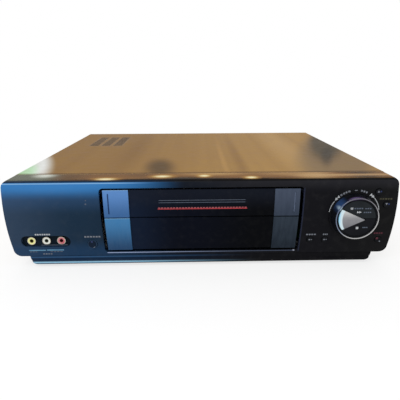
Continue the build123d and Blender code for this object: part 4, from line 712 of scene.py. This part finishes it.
def on_circle(x, z, r, angle):
    return (x + r * math.cos(angle), z + r * math.sin(angle))


def disc(x, z, r, sides=24):
    return [on_circle(x, z, r, math.tau * i / sides) for i in range(sides)]


def arc_bars(x, z, r, width, start, end, steps):
    """Short blocks that together make an arc from one angle in degrees to another."""
    angles = [math.radians(start + (end - start) * i / steps) for i in range(steps + 1)]
    inner, outer = r - width / 2, r + width / 2
    return [[on_circle(x, z, q, t) for q, t in ((inner, a), (outer, a), (outer, b), (inner, b))]
            for a, b in zip(angles, angles[1:])]


def frame_bars(x, z, width, height, line):
    """Four thin bars round a rectangle."""
    return [bar(x, z + height / 2, width, line), bar(x, z - height / 2, width, line),
            bar(x - width / 2, z, line, height), bar(x + width / 2, z, line, height)]


def rounded(x, z, width, height, r, steps=6):
    """A rectangle with round corners."""
    outline = []
    for corner, (sx, sz) in enumerate(((1, 1), (-1, 1), (-1, -1), (1, -1))):
        a, b = x + sx * (width / 2 - r), z + sz * (height / 2 - r)
        outline += [on_circle(a, b, r, math.pi / 2 * (corner + i / steps)) for i in range(steps + 1)]
    return outline


# ---------------------------------------------------------------- surfaces that carry marks
def face_depth(x, z, inset=0.0):
    """y of the curved fascia face, or of a face set back inside it, at height z."""
    drop = max(FACE_TANGENT_Z - z, 0)
    return FRONT_Y + FACE_R - math.sqrt((FACE_R - inset) ** 2 - drop**2)


def flap_depth(x, z):
    return face_depth(x, z, FLAP_SET_BACK)


def flat_face(node):
    """The depth function of a key's flat face."""
    low, high = millimetres(node)
    return lambda x, z: low.y


def button_face(node):
    """The depth function of a front button's dished face."""
    low, high = millimetres(node)
    centre = middle(node)
    dish_r = (high.x - low.x) / 2 - BUTTON_FLANGE - BUTTON_RIM
    ball_r = (dish_r**2 / BUTTON_DISH_D + BUTTON_DISH_D) / 2

    def depth(x, z):
        off = min(math.hypot(x - centre.x, z - centre.z), dish_r)
        return low.y + BUTTON_DISH_D - ball_r + math.sqrt(ball_r**2 - off**2)
    return depth


# ---------------------------------------------------------------- printed marks on the front
# Each mark: name, finish, the piece it stands by, then its rows. Each row: x and z from that
# piece's middle, width, height, and the number of blocks if it is not a plain bar.
BETWEEN_CHANNELS = (CHANNEL_UP.z - CHANNEL_DOWN.z) / 2
FRONT_MARKS = (
    ("mark_line_in", "print_grey", JACKS, ((-1.9, 8.2, 15.5, 1.5, 7),)),
    ("mark_jack_bracket", "print_blue", JACKS, ((-10.4, -10.6, 16.8, 1.3), (7.6, -10.4, 17.0, 1.3))),
    ("mark_jack_ends", "print_dim", JACKS, ((-14.6, -12.4, 8, 1.0, 3), (8.4, -12.4, 13, 1.0, 4))),
    ("mark_jack_caption", "print_soft_and_highlight", JACKS, ((-1.0, -15.2, 10, 1.2, 4),)),
    ("mark_jack_line", "print_dim", JACKS, ((8, -4.2, 26, 0.5),)),
    ("mark_operate", "print_soft_and_highlight", OPERATE, ((0.9, 8.3, 16.6, 1.7, 6),)),
    ("mark_menu", "print_soft_and_highlight", MENU, ((0.4, 6.0, 10.4, 1.5, 4),)),
    ("mark_set", "print_soft_and_highlight", SET, ((0, 6.0, 5.4, 1.5, 3),)),
    ("mark_channel", "print_olive", CHANNEL_DOWN, ((-1.2, BETWEEN_CHANNELS - 0.8, 13.0, 1.5, 5),)),
    ("mark_record", "print_maroon", RECORD, ((-1, 7.2, 9.5, 1.6, 4),)),
)
# In place of the maker's title on the flap.
FLAP_TITLE = Vector((0.2, FRONT_Y, 71.5))
FLAP_MARKS = (
    ("flap_pinstripes", "print_dim", FLAP_TITLE, ((0, 1.7, 84, 0.5), (0, -0.6, 84, 0.5))),
    ("flap_red_stripe", "print_red", FLAP_TITLE, ((0.3, -7.2, 87, 0.8),)),
    ("flap_red_dashes", "print_rose", FLAP_TITLE, ((0.3, -6.1, 87, 1.0, 30),)),
)
INDICATOR_DOTS = ((-111.8, 70.7, 0.8), (-111.5, 74.4, 0.55))
# The arc over the dial: its middle from the dial's middle, its radius, then angles in degrees.
ARC_X, ARC_Z, ARC_R = 0.5, 1.0, 24.7
ARC_POINTERS = ((141, 1), (134, 1), (52, -1), (46, -1))
ARC_WORDS = ((128, 123), (121, 117), (115, 111), (109, 104), (80, 76), (74, 70), (68, 64))


def print_marks(name, outlines, finish, body="cabinet", depth_at=face_depth):
    shape = bmesh.new()
    for outline in outlines:
        add_prism(shape, outline, depth_at)
    new_piece(name, shape, finish, body)


def rows_of_blocks(spot, rows):
    """The outlines of rows placed from a piece's middle."""
    outlines = []
    for x, z, *size in rows:
        outlines += blocks(spot.x + x, spot.z + z, *size)
    return outlines


def front_marks():
    for name, finish, spot, rows in FRONT_MARKS:
        print_marks(name, rows_of_blocks(spot, rows), finish)
    print_marks("indicator_dots", [disc(*dot) for dot in INDICATOR_DOTS], "print_dim")


def button_print(name, outlines, finish, button):
    """Marks that lie in the dished face of a front button, parented to the empty named for its key."""
    print_marks(name, outlines, finish, button + "_key", button_face(button + "_button"))


def button_marks():
    """Signs on the channel buttons, painted highlights on menu and set, a dot on record, a rim line on
    operate, and painted catch lights and a painted sheen.
    """
    for name, spot, rise, turn in (("channel_up", CHANNEL_UP, 0.5, math.pi / 2),
                                   ("channel_down", CHANNEL_DOWN, 0.4, -math.pi / 2)):
        sign = pointer(spot.x - 0.2, spot.z + rise, 2.2, 2.4, turn)
        button_print("mark_on_" + name, [sign], "print_soft_and_highlight", name)
    # Painted highlights: two small light blocks on each of menu and set.
    for name, spot in (("menu", MENU), ("set", SET)):
        signs = rows_of_blocks(spot, ((-0.6, 0, 1.5, 1.2), (1.4, 0.1, 1.0, 0.8)))
        button_print("mark_on_" + name, signs, "print_soft_and_highlight", name)
    # Painted catch lights on the channel buttons.
    for name, spot in (("channel_up", CHANNEL_UP), ("channel_down", CHANNEL_DOWN)):
        button_print("catch_on_" + name, [disc(spot.x + 2.0, spot.z + 0.5, 0.8)], "painted_navy_sheen", name)
    x, z = RECORD.x, RECORD.z
    button_print("mark_on_record", [disc(x - 1.2, z + 1.2, 1.3)], "print_maroon", "record")
    # Painted catch light on record.
    button_print("catch_on_record", [disc(x + 1.6, z - 2.0, 0.7)], "print_soft_and_highlight", "record")
    x, z = OPERATE.x, OPERATE.z
    button_print("ring_on_operate", arc_bars(x, z, 4.3, 0.5, 0, 360, 32), "print_ring", "operate")
    # Painted catch light and painted sheen on operate.
    button_print("catch_on_operate", arc_bars(x, z, 3.9, 0.7, 282, 310, 3), "print_soft_and_highlight", "operate")
    button_print("sheen_on_operate", [disc(x - 0.4, z + 2.2, 1.0)], "painted_navy_sheen", "operate")


def flap_marks():
    for name, finish, spot, rows in FLAP_MARKS:
        print_marks(name, rows_of_blocks(spot, rows), finish, "flap", flap_depth)


def dial_arc():
    """Two arcs over the dial with two pointers each, and blocks for the words between them."""
    arc = (DIAL.x + ARC_X, DIAL.z + ARC_Z, ARC_R)
    lines = arc_bars(*arc, 0.7, 174, 146, 8) + arc_bars(*arc, 0.7, 42, 10, 8)
    for degrees, way in ARC_POINTERS:
        angle = math.radians(degrees)
        lines.append(pointer(*on_circle(*arc, angle), 3.0, 3.2, angle + way * math.pi / 2))
    print_marks("mark_dial_arc", lines, "print_grey")
    words = arc_bars(*arc, 0.8, 94, 88, 2)
    for start, end in ARC_WORDS:
        words += arc_bars(*arc, 1.8, start, end, 2)
    print_marks("mark_dial_words", words, "print_soft_and_highlight")


def key_marks():
    """Pause, fast-forward and stop signs with blocks on the two keys round the play pointer."""
    x, z = DIAL.x, DIAL.z
    upper, lower = flat_face("pause_button"), flat_face("stop_button")
    signs = rows_of_blocks(DIAL, ((-6.8, 10.3, 0.9, 2.0), (-5.4, 10.3, 0.9, 2.0)))
    signs += [pointer(x + 0.3, z + 6.5, 2.2, 2.2), pointer(x + 2.4, z + 6.5, 2.2, 2.2)]
    words = ((0.5, 10.3, 9.0, 1.3, 4), (9.6, 10.1, 6.5, 1.1, 3), (9.2, 6.3, 7.6, 1.2, 4))
    print_marks("mark_pause", signs, "print_grey", "pause_key", upper)
    print_marks("mark_pause_words", rows_of_blocks(DIAL, words), "print_dim", "pause_key", upper)
    print_marks("mark_stop", blocks(x + 0.8, z - 9.6, 2.4, 2.4), "print_grey", "stop_key", lower)
    print_marks("mark_stop_word", blocks(x + 8.4, z - 9.2, 5.4, 1.1, 3), "print_dim", "stop_key", lower)


# ---------------------------------------------------------------- painted shade: dark strips in the door gaps
SHADE_STRIP_FROM_FRONT = 11.0
SHADE_STRIP_LOW_Z, SHADE_STRIP_HIGH_Z = SILL_Z + 0.4, DOOR_TOP_Z - 0.8
SHADE_STRIP_GAP = 0.05
SHADE_STRIP_STEPS = 24
# The L profile: distance in from the door's side, distance behind the strip's front.
SHADE_STRIP_PROFILE = ((0, 0), (2.7, 0), (2.7, 0.9), (0.9, 0.9), (0.9, 3.6), (0, 3.6))


def door_gap_shade_strips():
    """Painted shade: dark felt strips that darken the gaps at the door's sides, which follow the curved face.
    """
    for name, side in (("door_gap_shade_left", -1), ("door_gap_shade_right", 1)):
        shape = bmesh.new()
        rings = []
        for i in range(SHADE_STRIP_STEPS + 1):
            z = SHADE_STRIP_LOW_Z + (SHADE_STRIP_HIGH_Z - SHADE_STRIP_LOW_Z) * i / SHADE_STRIP_STEPS
            y = face_depth(0, z) + SHADE_STRIP_FROM_FRONT
            corners = [(side * (DOOR_HALF_W - SHADE_STRIP_GAP - a), y + b, z) for a, b in SHADE_STRIP_PROFILE]
            rings.append([shape.verts.new(corner) for corner in corners])
        skin(shape, rings)
        new_piece(name, shape, "felt", "cabinet")


# ---------------------------------------------------------------- marks on the rear panel
PLATE = Vector((-42.0, REAR_FACE_Y, 56.0))
PLATE_W, PLATE_H, PLATE_T, PLATE_R = 76.0, 40.0, 0.25, 2.5
PLATE_FRAME_W, PLATE_FRAME_H, PLATE_LINE = 72, 36, 0.4
# The lines of the plate's table: x and z from its middle, width, height.
PLATE_RULES = ((0, 8, 72, 0.4), (0, -6, 72, 0.4), (-6, 1, 0.4, 14))
PLATE_BAR_H, PLATE_BAR_GAP, PLATE_INDENT = 1.1, 3, 5
STRIPE_COUNT, STRIPE_PITCH, STRIPE_H = 12, 1.5, 9
STRIPE_THIN, STRIPE_THICK = 0.5, 0.9
# Each row of bars: height over the plate's middle and the bars' lengths, read from behind.
PLATE_ROWS = (
    (14.0, (18, 9)), (11.0, (12, 20)), (5.0, (14, 8)), (1.5, (10, 12)), (-2.0, (16, 7)),
    (-10.0, (26, 14)), (-13.5, (12, 9)),
)
REAR_SOCKETS = ((25.0, "red_insert"), (40.0, "white_insert"), (55.0, "yellow_insert"))
REAR_SOCKET_ZS = (48.5, 63.5)
# Each caption: x, z, width, number of blocks.
REAR_CAPTIONS = (
    (40, 77.4, 22, 5), (25, 72, 6, 2), (40, 72, 6, 2), (55, 72, 6, 2), (40, 35.6, 16, 4),
    (131, 64.4, 12, 3), (155, 64.4, 12, 3), (131, 37.8, 8, 2), (155, 37.8, 8, 2), (-151.3, 66, 20, 4),
)
CAPTION_H = 1.3
# The frames round the phono sockets and the aerial sockets: x, z, width, height.
SOCKET_FRAME = (40.0, 56.0, 52, 36)
AERIAL_FRAME = (143.2, 48.6, 48, 26)
FRAME_LINE = 0.5
# The collars' section: radius, and height over the panel.
COLLAR = ((4.4, -SUNK), (4.4, 0.8), (4.8, 1.1), (6.0, 1.1), (6.4, 0.7), (6.4, -SUNK))


def rear_marks(name, outlines, finish, base=0.0):
    """Prints outlines on the rear panel, or on a plate of the given thickness that lies on it."""
    shape = bmesh.new()
    for outline in outlines:
        add_prism(shape, outline, lambda x, z: REAR_FACE_Y + base, -PRINT_PROUD, -PRINT_SUNK)
    new_piece(name, shape, finish, "cabinet")


def rating_plate():
    """A paper plate with a frame, table lines, bars in place of words and a field of stripes."""
    x, z = PLATE.x, PLATE.z
    shape = bmesh.new()
    outline = rounded(x, z, PLATE_W, PLATE_H, PLATE_R)
    add_prism(shape, outline, lambda a, b: REAR_FACE_Y, -PLATE_T, -PRINT_SUNK)
    new_piece("rating_plate", shape, "label_paper", "cabinet")
    lines = frame_bars(x, z, PLATE_FRAME_W, PLATE_FRAME_H, PLATE_LINE) + rows_of_blocks(PLATE, PLATE_RULES)
    for rise, lengths in PLATE_ROWS:
        start = x + PLATE_W / 2 - PLATE_INDENT
        for length in lengths:
            lines.append(bar(start - length / 2, z + rise, length, PLATE_BAR_H))
            start -= length + PLATE_BAR_GAP
    rear_marks("rating_plate_bars", lines, "ink", PLATE_T)
    stripes = []
    for i in range(STRIPE_COUNT):
        width = STRIPE_THIN if i % 3 else STRIPE_THICK
        stripes.append(bar(x - 13 - STRIPE_PITCH * i, z + 1.0, width, STRIPE_H))
    rear_marks("rating_plate_stripes", stripes, "ink", PLATE_T)


def rear_socket_marks():
    """Coloured collars round the six sockets, thin frames round both groups and short captions."""
    collar = [(r, REAR_FACE_Y + rise) for r, rise in COLLAR]
    for column, (x, finish) in enumerate(REAR_SOCKETS, 1):
        shape = bmesh.new()
        for z in REAR_SOCKET_ZS:
            lathe(shape, x, z, collar)
        new_piece("socket_collars_%d" % column, shape, finish, "cabinet", smooth=True)
    lines = frame_bars(*SOCKET_FRAME, FRAME_LINE) + frame_bars(*AERIAL_FRAME, FRAME_LINE)
    middle_x = SOCKET_FRAME[0]
    for z in REAR_SOCKET_ZS:
        lines += [bar(middle_x, z, 2.0, FRAME_LINE), bar(middle_x - 24, z, 3.2, FRAME_LINE)]
    rear_marks("rear_frames", lines, "ink")
    words = []
    for x, z, width, count in REAR_CAPTIONS:
        words += blocks(x, z, width, CAPTION_H, count)
    rear_marks("rear_captions", words, "ink")


# ---------------------------------------------------------------- screws and ribs
SCREW_SIDES = 24
SCREW_R, SCREW_H = 3.1, 1.5
REAR_SCREWS = (
    (-178, 87), (-60, 88), (60, 88), (178, 87), (-178, 14), (-80, 12), (80, 12), (178, 14),
    (21, 78), (59, 34), (113, 36), (173, 61), (-172, 50),
)
UNDERSIDE_SCREWS = (
    (-172, -112), (-60, -114), (60, -114), (172, -112), (-172, 10), (172, 10), (-95, 60),
    (95, 60), (-172, 134), (-60, 134), (60, 134), (172, 134), (0, -30), (0, 88),
)
# Ribs: x and z on the rear, x and y underneath, then width and height over the panel.
REAR_RIBS = (
    (-105, 76, 44, 5), (-105, 66, 44, 5), (-105, 56, 44, 5),
    (95, 76, 24, 5), (95, 22, 24, 5), (-10, 24, 90, 5),
)
LONG_RIBS = tuple((x, 8, 8, 150) for x in (-130, -110, -30, 30, 110, 130))
FRONT_RIBS = tuple((0, y, 44, 6) for y in (-92, -80, -68))
SIDE_RIBS = tuple((x, y, 40, 6) for x in (-70, 70) for y in (-60, -45, 100, 115))
UNDERSIDE_RIBS = LONG_RIBS + FRONT_RIBS + SIDE_RIBS
# A rib's section: how far it reaches past its outline, and how far it stands over the panel.
RIB_SECTION = ((0.0, -SUNK), (0.0, 0.0), (-0.7, 0.5), (-1.4, 0.7))


def on_rear(x, z):
    """Turns places about a point of the rear panel, and a height over it, into row-frame points."""
    return lambda a, b, h: (x + a, REAR_FACE_Y + h, z + b)


def on_underside(x, y):
    """The same under the pan."""
    return lambda a, b, h: (x + a, y + b, PAN_LOW_Z - h)


def screw_head(shape, at):
    """A domed screw head with a real cross recess."""
    arm, reach, floor = SCREW_R * 0.17, SCREW_R * 0.6, SCREW_H * 0.4
    dome = ((SCREW_R, -SUNK), (SCREW_R, SCREW_H * 0.35), (SCREW_R * 0.82, SCREW_H))
    rings = [[shape.verts.new(at(a, b, h)) for a, b in disc(0, 0, r, SCREW_SIDES)] for r, h in dome]
    join(shape, rings)
    shape.faces.new(rings[0])
    cross = [(arm, reach), (-arm, reach), (-arm, arm), (-reach, arm), (-reach, -arm), (-arm, -arm),
             (-arm, -reach), (arm, -reach), (arm, -arm), (reach, -arm), (reach, arm), (arm, arm)]
    upper, lower = ([shape.verts.new(at(a, b, h)) for a, b in cross] for h in (SCREW_H, floor))
    rim = [shape.edges.get(pair) for pair in around(rings[-1])]
    rim += [shape.edges.new(pair) for pair in around(upper)]
    bmesh.ops.triangle_fill(shape, edges=rim, use_beauty=True)
    join(shape, [upper, lower])
    shape.faces.new(lower)


def pressed_rib(shape, at, width, height):
    """A low ridge with rounded ends and soft flanks."""
    rings = []
    for grow, rise in RIB_SECTION:
        w, h = width + 2 * grow, height + 2 * grow
        outline = rounded(0, 0, w, h, min(w, h) / 2 - 0.01, 8)
        rings.append([shape.verts.new(at(a, b, rise)) for a, b in outline])
    skin(shape, rings)


def panel_screws():
    for name, places, on in (("rear_panel_screws", REAR_SCREWS, on_rear),
                             ("underside_screws", UNDERSIDE_SCREWS, on_underside)):
        shape = bmesh.new()
        for place in places:
            screw_head(shape, on(*place))
        new_piece(name, shape, "bright_steel", "cabinet")


def panel_ribs():
    """Pressed ribs that stiffen the rear panel and the pan."""
    for name, ribs, on in (("rear_panel_ribs", REAR_RIBS, on_rear),
                           ("underside_ribs", UNDERSIDE_RIBS, on_underside)):
        shape = bmesh.new()
        for a, b, width, height in ribs:
            pressed_rib(shape, on(a, b), width, height)
        new_piece(name, shape, "steel_sheet", "cabinet", smooth=True)


# ---------------------------------------------------------------- stage and light
# Lengths here are metres.
AMBIENT = 0.8
BACKDROP = 1.0
FLOOR_SIZE = 14
FLOOR_SHOW = 0.72
FLOOR_FADE = (0.2, 0.75)
KEY_PLACE, KEY_AIM = (-0.5, -1.1, 1.3), (0, 0, 0.05)
KEY_SIZE, KEY_POWER = (1.2, 0.8), 10


def shown_rays(tree):
    """1 for rays that reach the eye directly, by reflection or through glass."""
    path = tree.nodes.new("ShaderNodeLightPath")
    total = None
    for ray in ("Is Camera Ray", "Is Glossy Ray", "Is Transmission Ray"):
        node = tree.nodes.new("ShaderNodeMath")
        node.operation = "MAXIMUM"
        tree.links.new(path.outputs[ray], node.inputs[0])
        if total is not None:
            tree.links.new(total, node.inputs[1])
        total = node.outputs["Value"]
    return total


def floor_paper():
    """White paper that shades near the part and passes into the backdrop with distance."""
    s = Shading("floor_paper")
    s.shader.inputs["Base Color"].default_value = (0.95, 0.95, 0.95, 1)
    s.shader.inputs["Roughness"].default_value = 0.9
    s.shader.inputs["Specular IOR Level"].default_value = 0.0
    glow = s.tree.nodes.new("ShaderNodeEmission")
    glow.inputs["Strength"].default_value = BACKDROP
    far = s.tree.nodes.new("ShaderNodeVectorMath")
    far.operation = "LENGTH"
    s.set(far.inputs[0], s.place)
    level = s.spread(far.outputs["Value"], *FLOOR_FADE, FLOOR_SHOW, 1, smooth=True)
    s.mixed(s.times(shown_rays(s.tree), level), s.shader.outputs["BSDF"], glow.outputs["Emission"])
    return s.material


def add_stage():
    bpy.ops.mesh.primitive_plane_add(size=FLOOR_SIZE, location=(0, 0, 0))
    floor = bpy.context.object
    floor.name = "floor"
    floor.data.materials.append(floor_paper())


def add_world():
    world = bpy.data.worlds.new("world")
    bpy.context.scene.world = world
    world.use_nodes = True
    tree = world.node_tree
    level = tree.nodes.new("ShaderNodeMapRange")
    level.inputs["To Min"].default_value = AMBIENT
    level.inputs["To Max"].default_value = BACKDROP
    tree.links.new(shown_rays(tree), level.inputs["Value"])
    background = tree.nodes["Background"]
    background.inputs["Color"].default_value = (1, 1, 1, 1)
    tree.links.new(level.outputs["Result"], background.inputs["Strength"])


def add_lamp(name, place, aim, size, power):
    data = bpy.data.lights.new(name, "AREA")
    data.shape = "RECTANGLE"
    data.size, data.size_y = size
    data.energy = power
    lamp = bpy.data.objects.new(name, data)
    bpy.context.scene.collection.objects.link(lamp)
    lamp.location = place
    lamp.rotation_euler = (Vector(aim) - Vector(place)).to_track_quat("-Z", "Y").to_euler()


add_camera()
make_finishes()
dress_cad_nodes()
front_marks()
button_marks()
flap_marks()
dial_arc()
key_marks()
door_gap_shade_strips()
rating_plate()
rear_socket_marks()
panel_screws()
panel_ribs()
add_stage()
add_world()
add_lamp("key", KEY_PLACE, KEY_AIM, KEY_SIZE, KEY_POWER)
bpy.context.scene.view_settings.view_transform = "Standard"
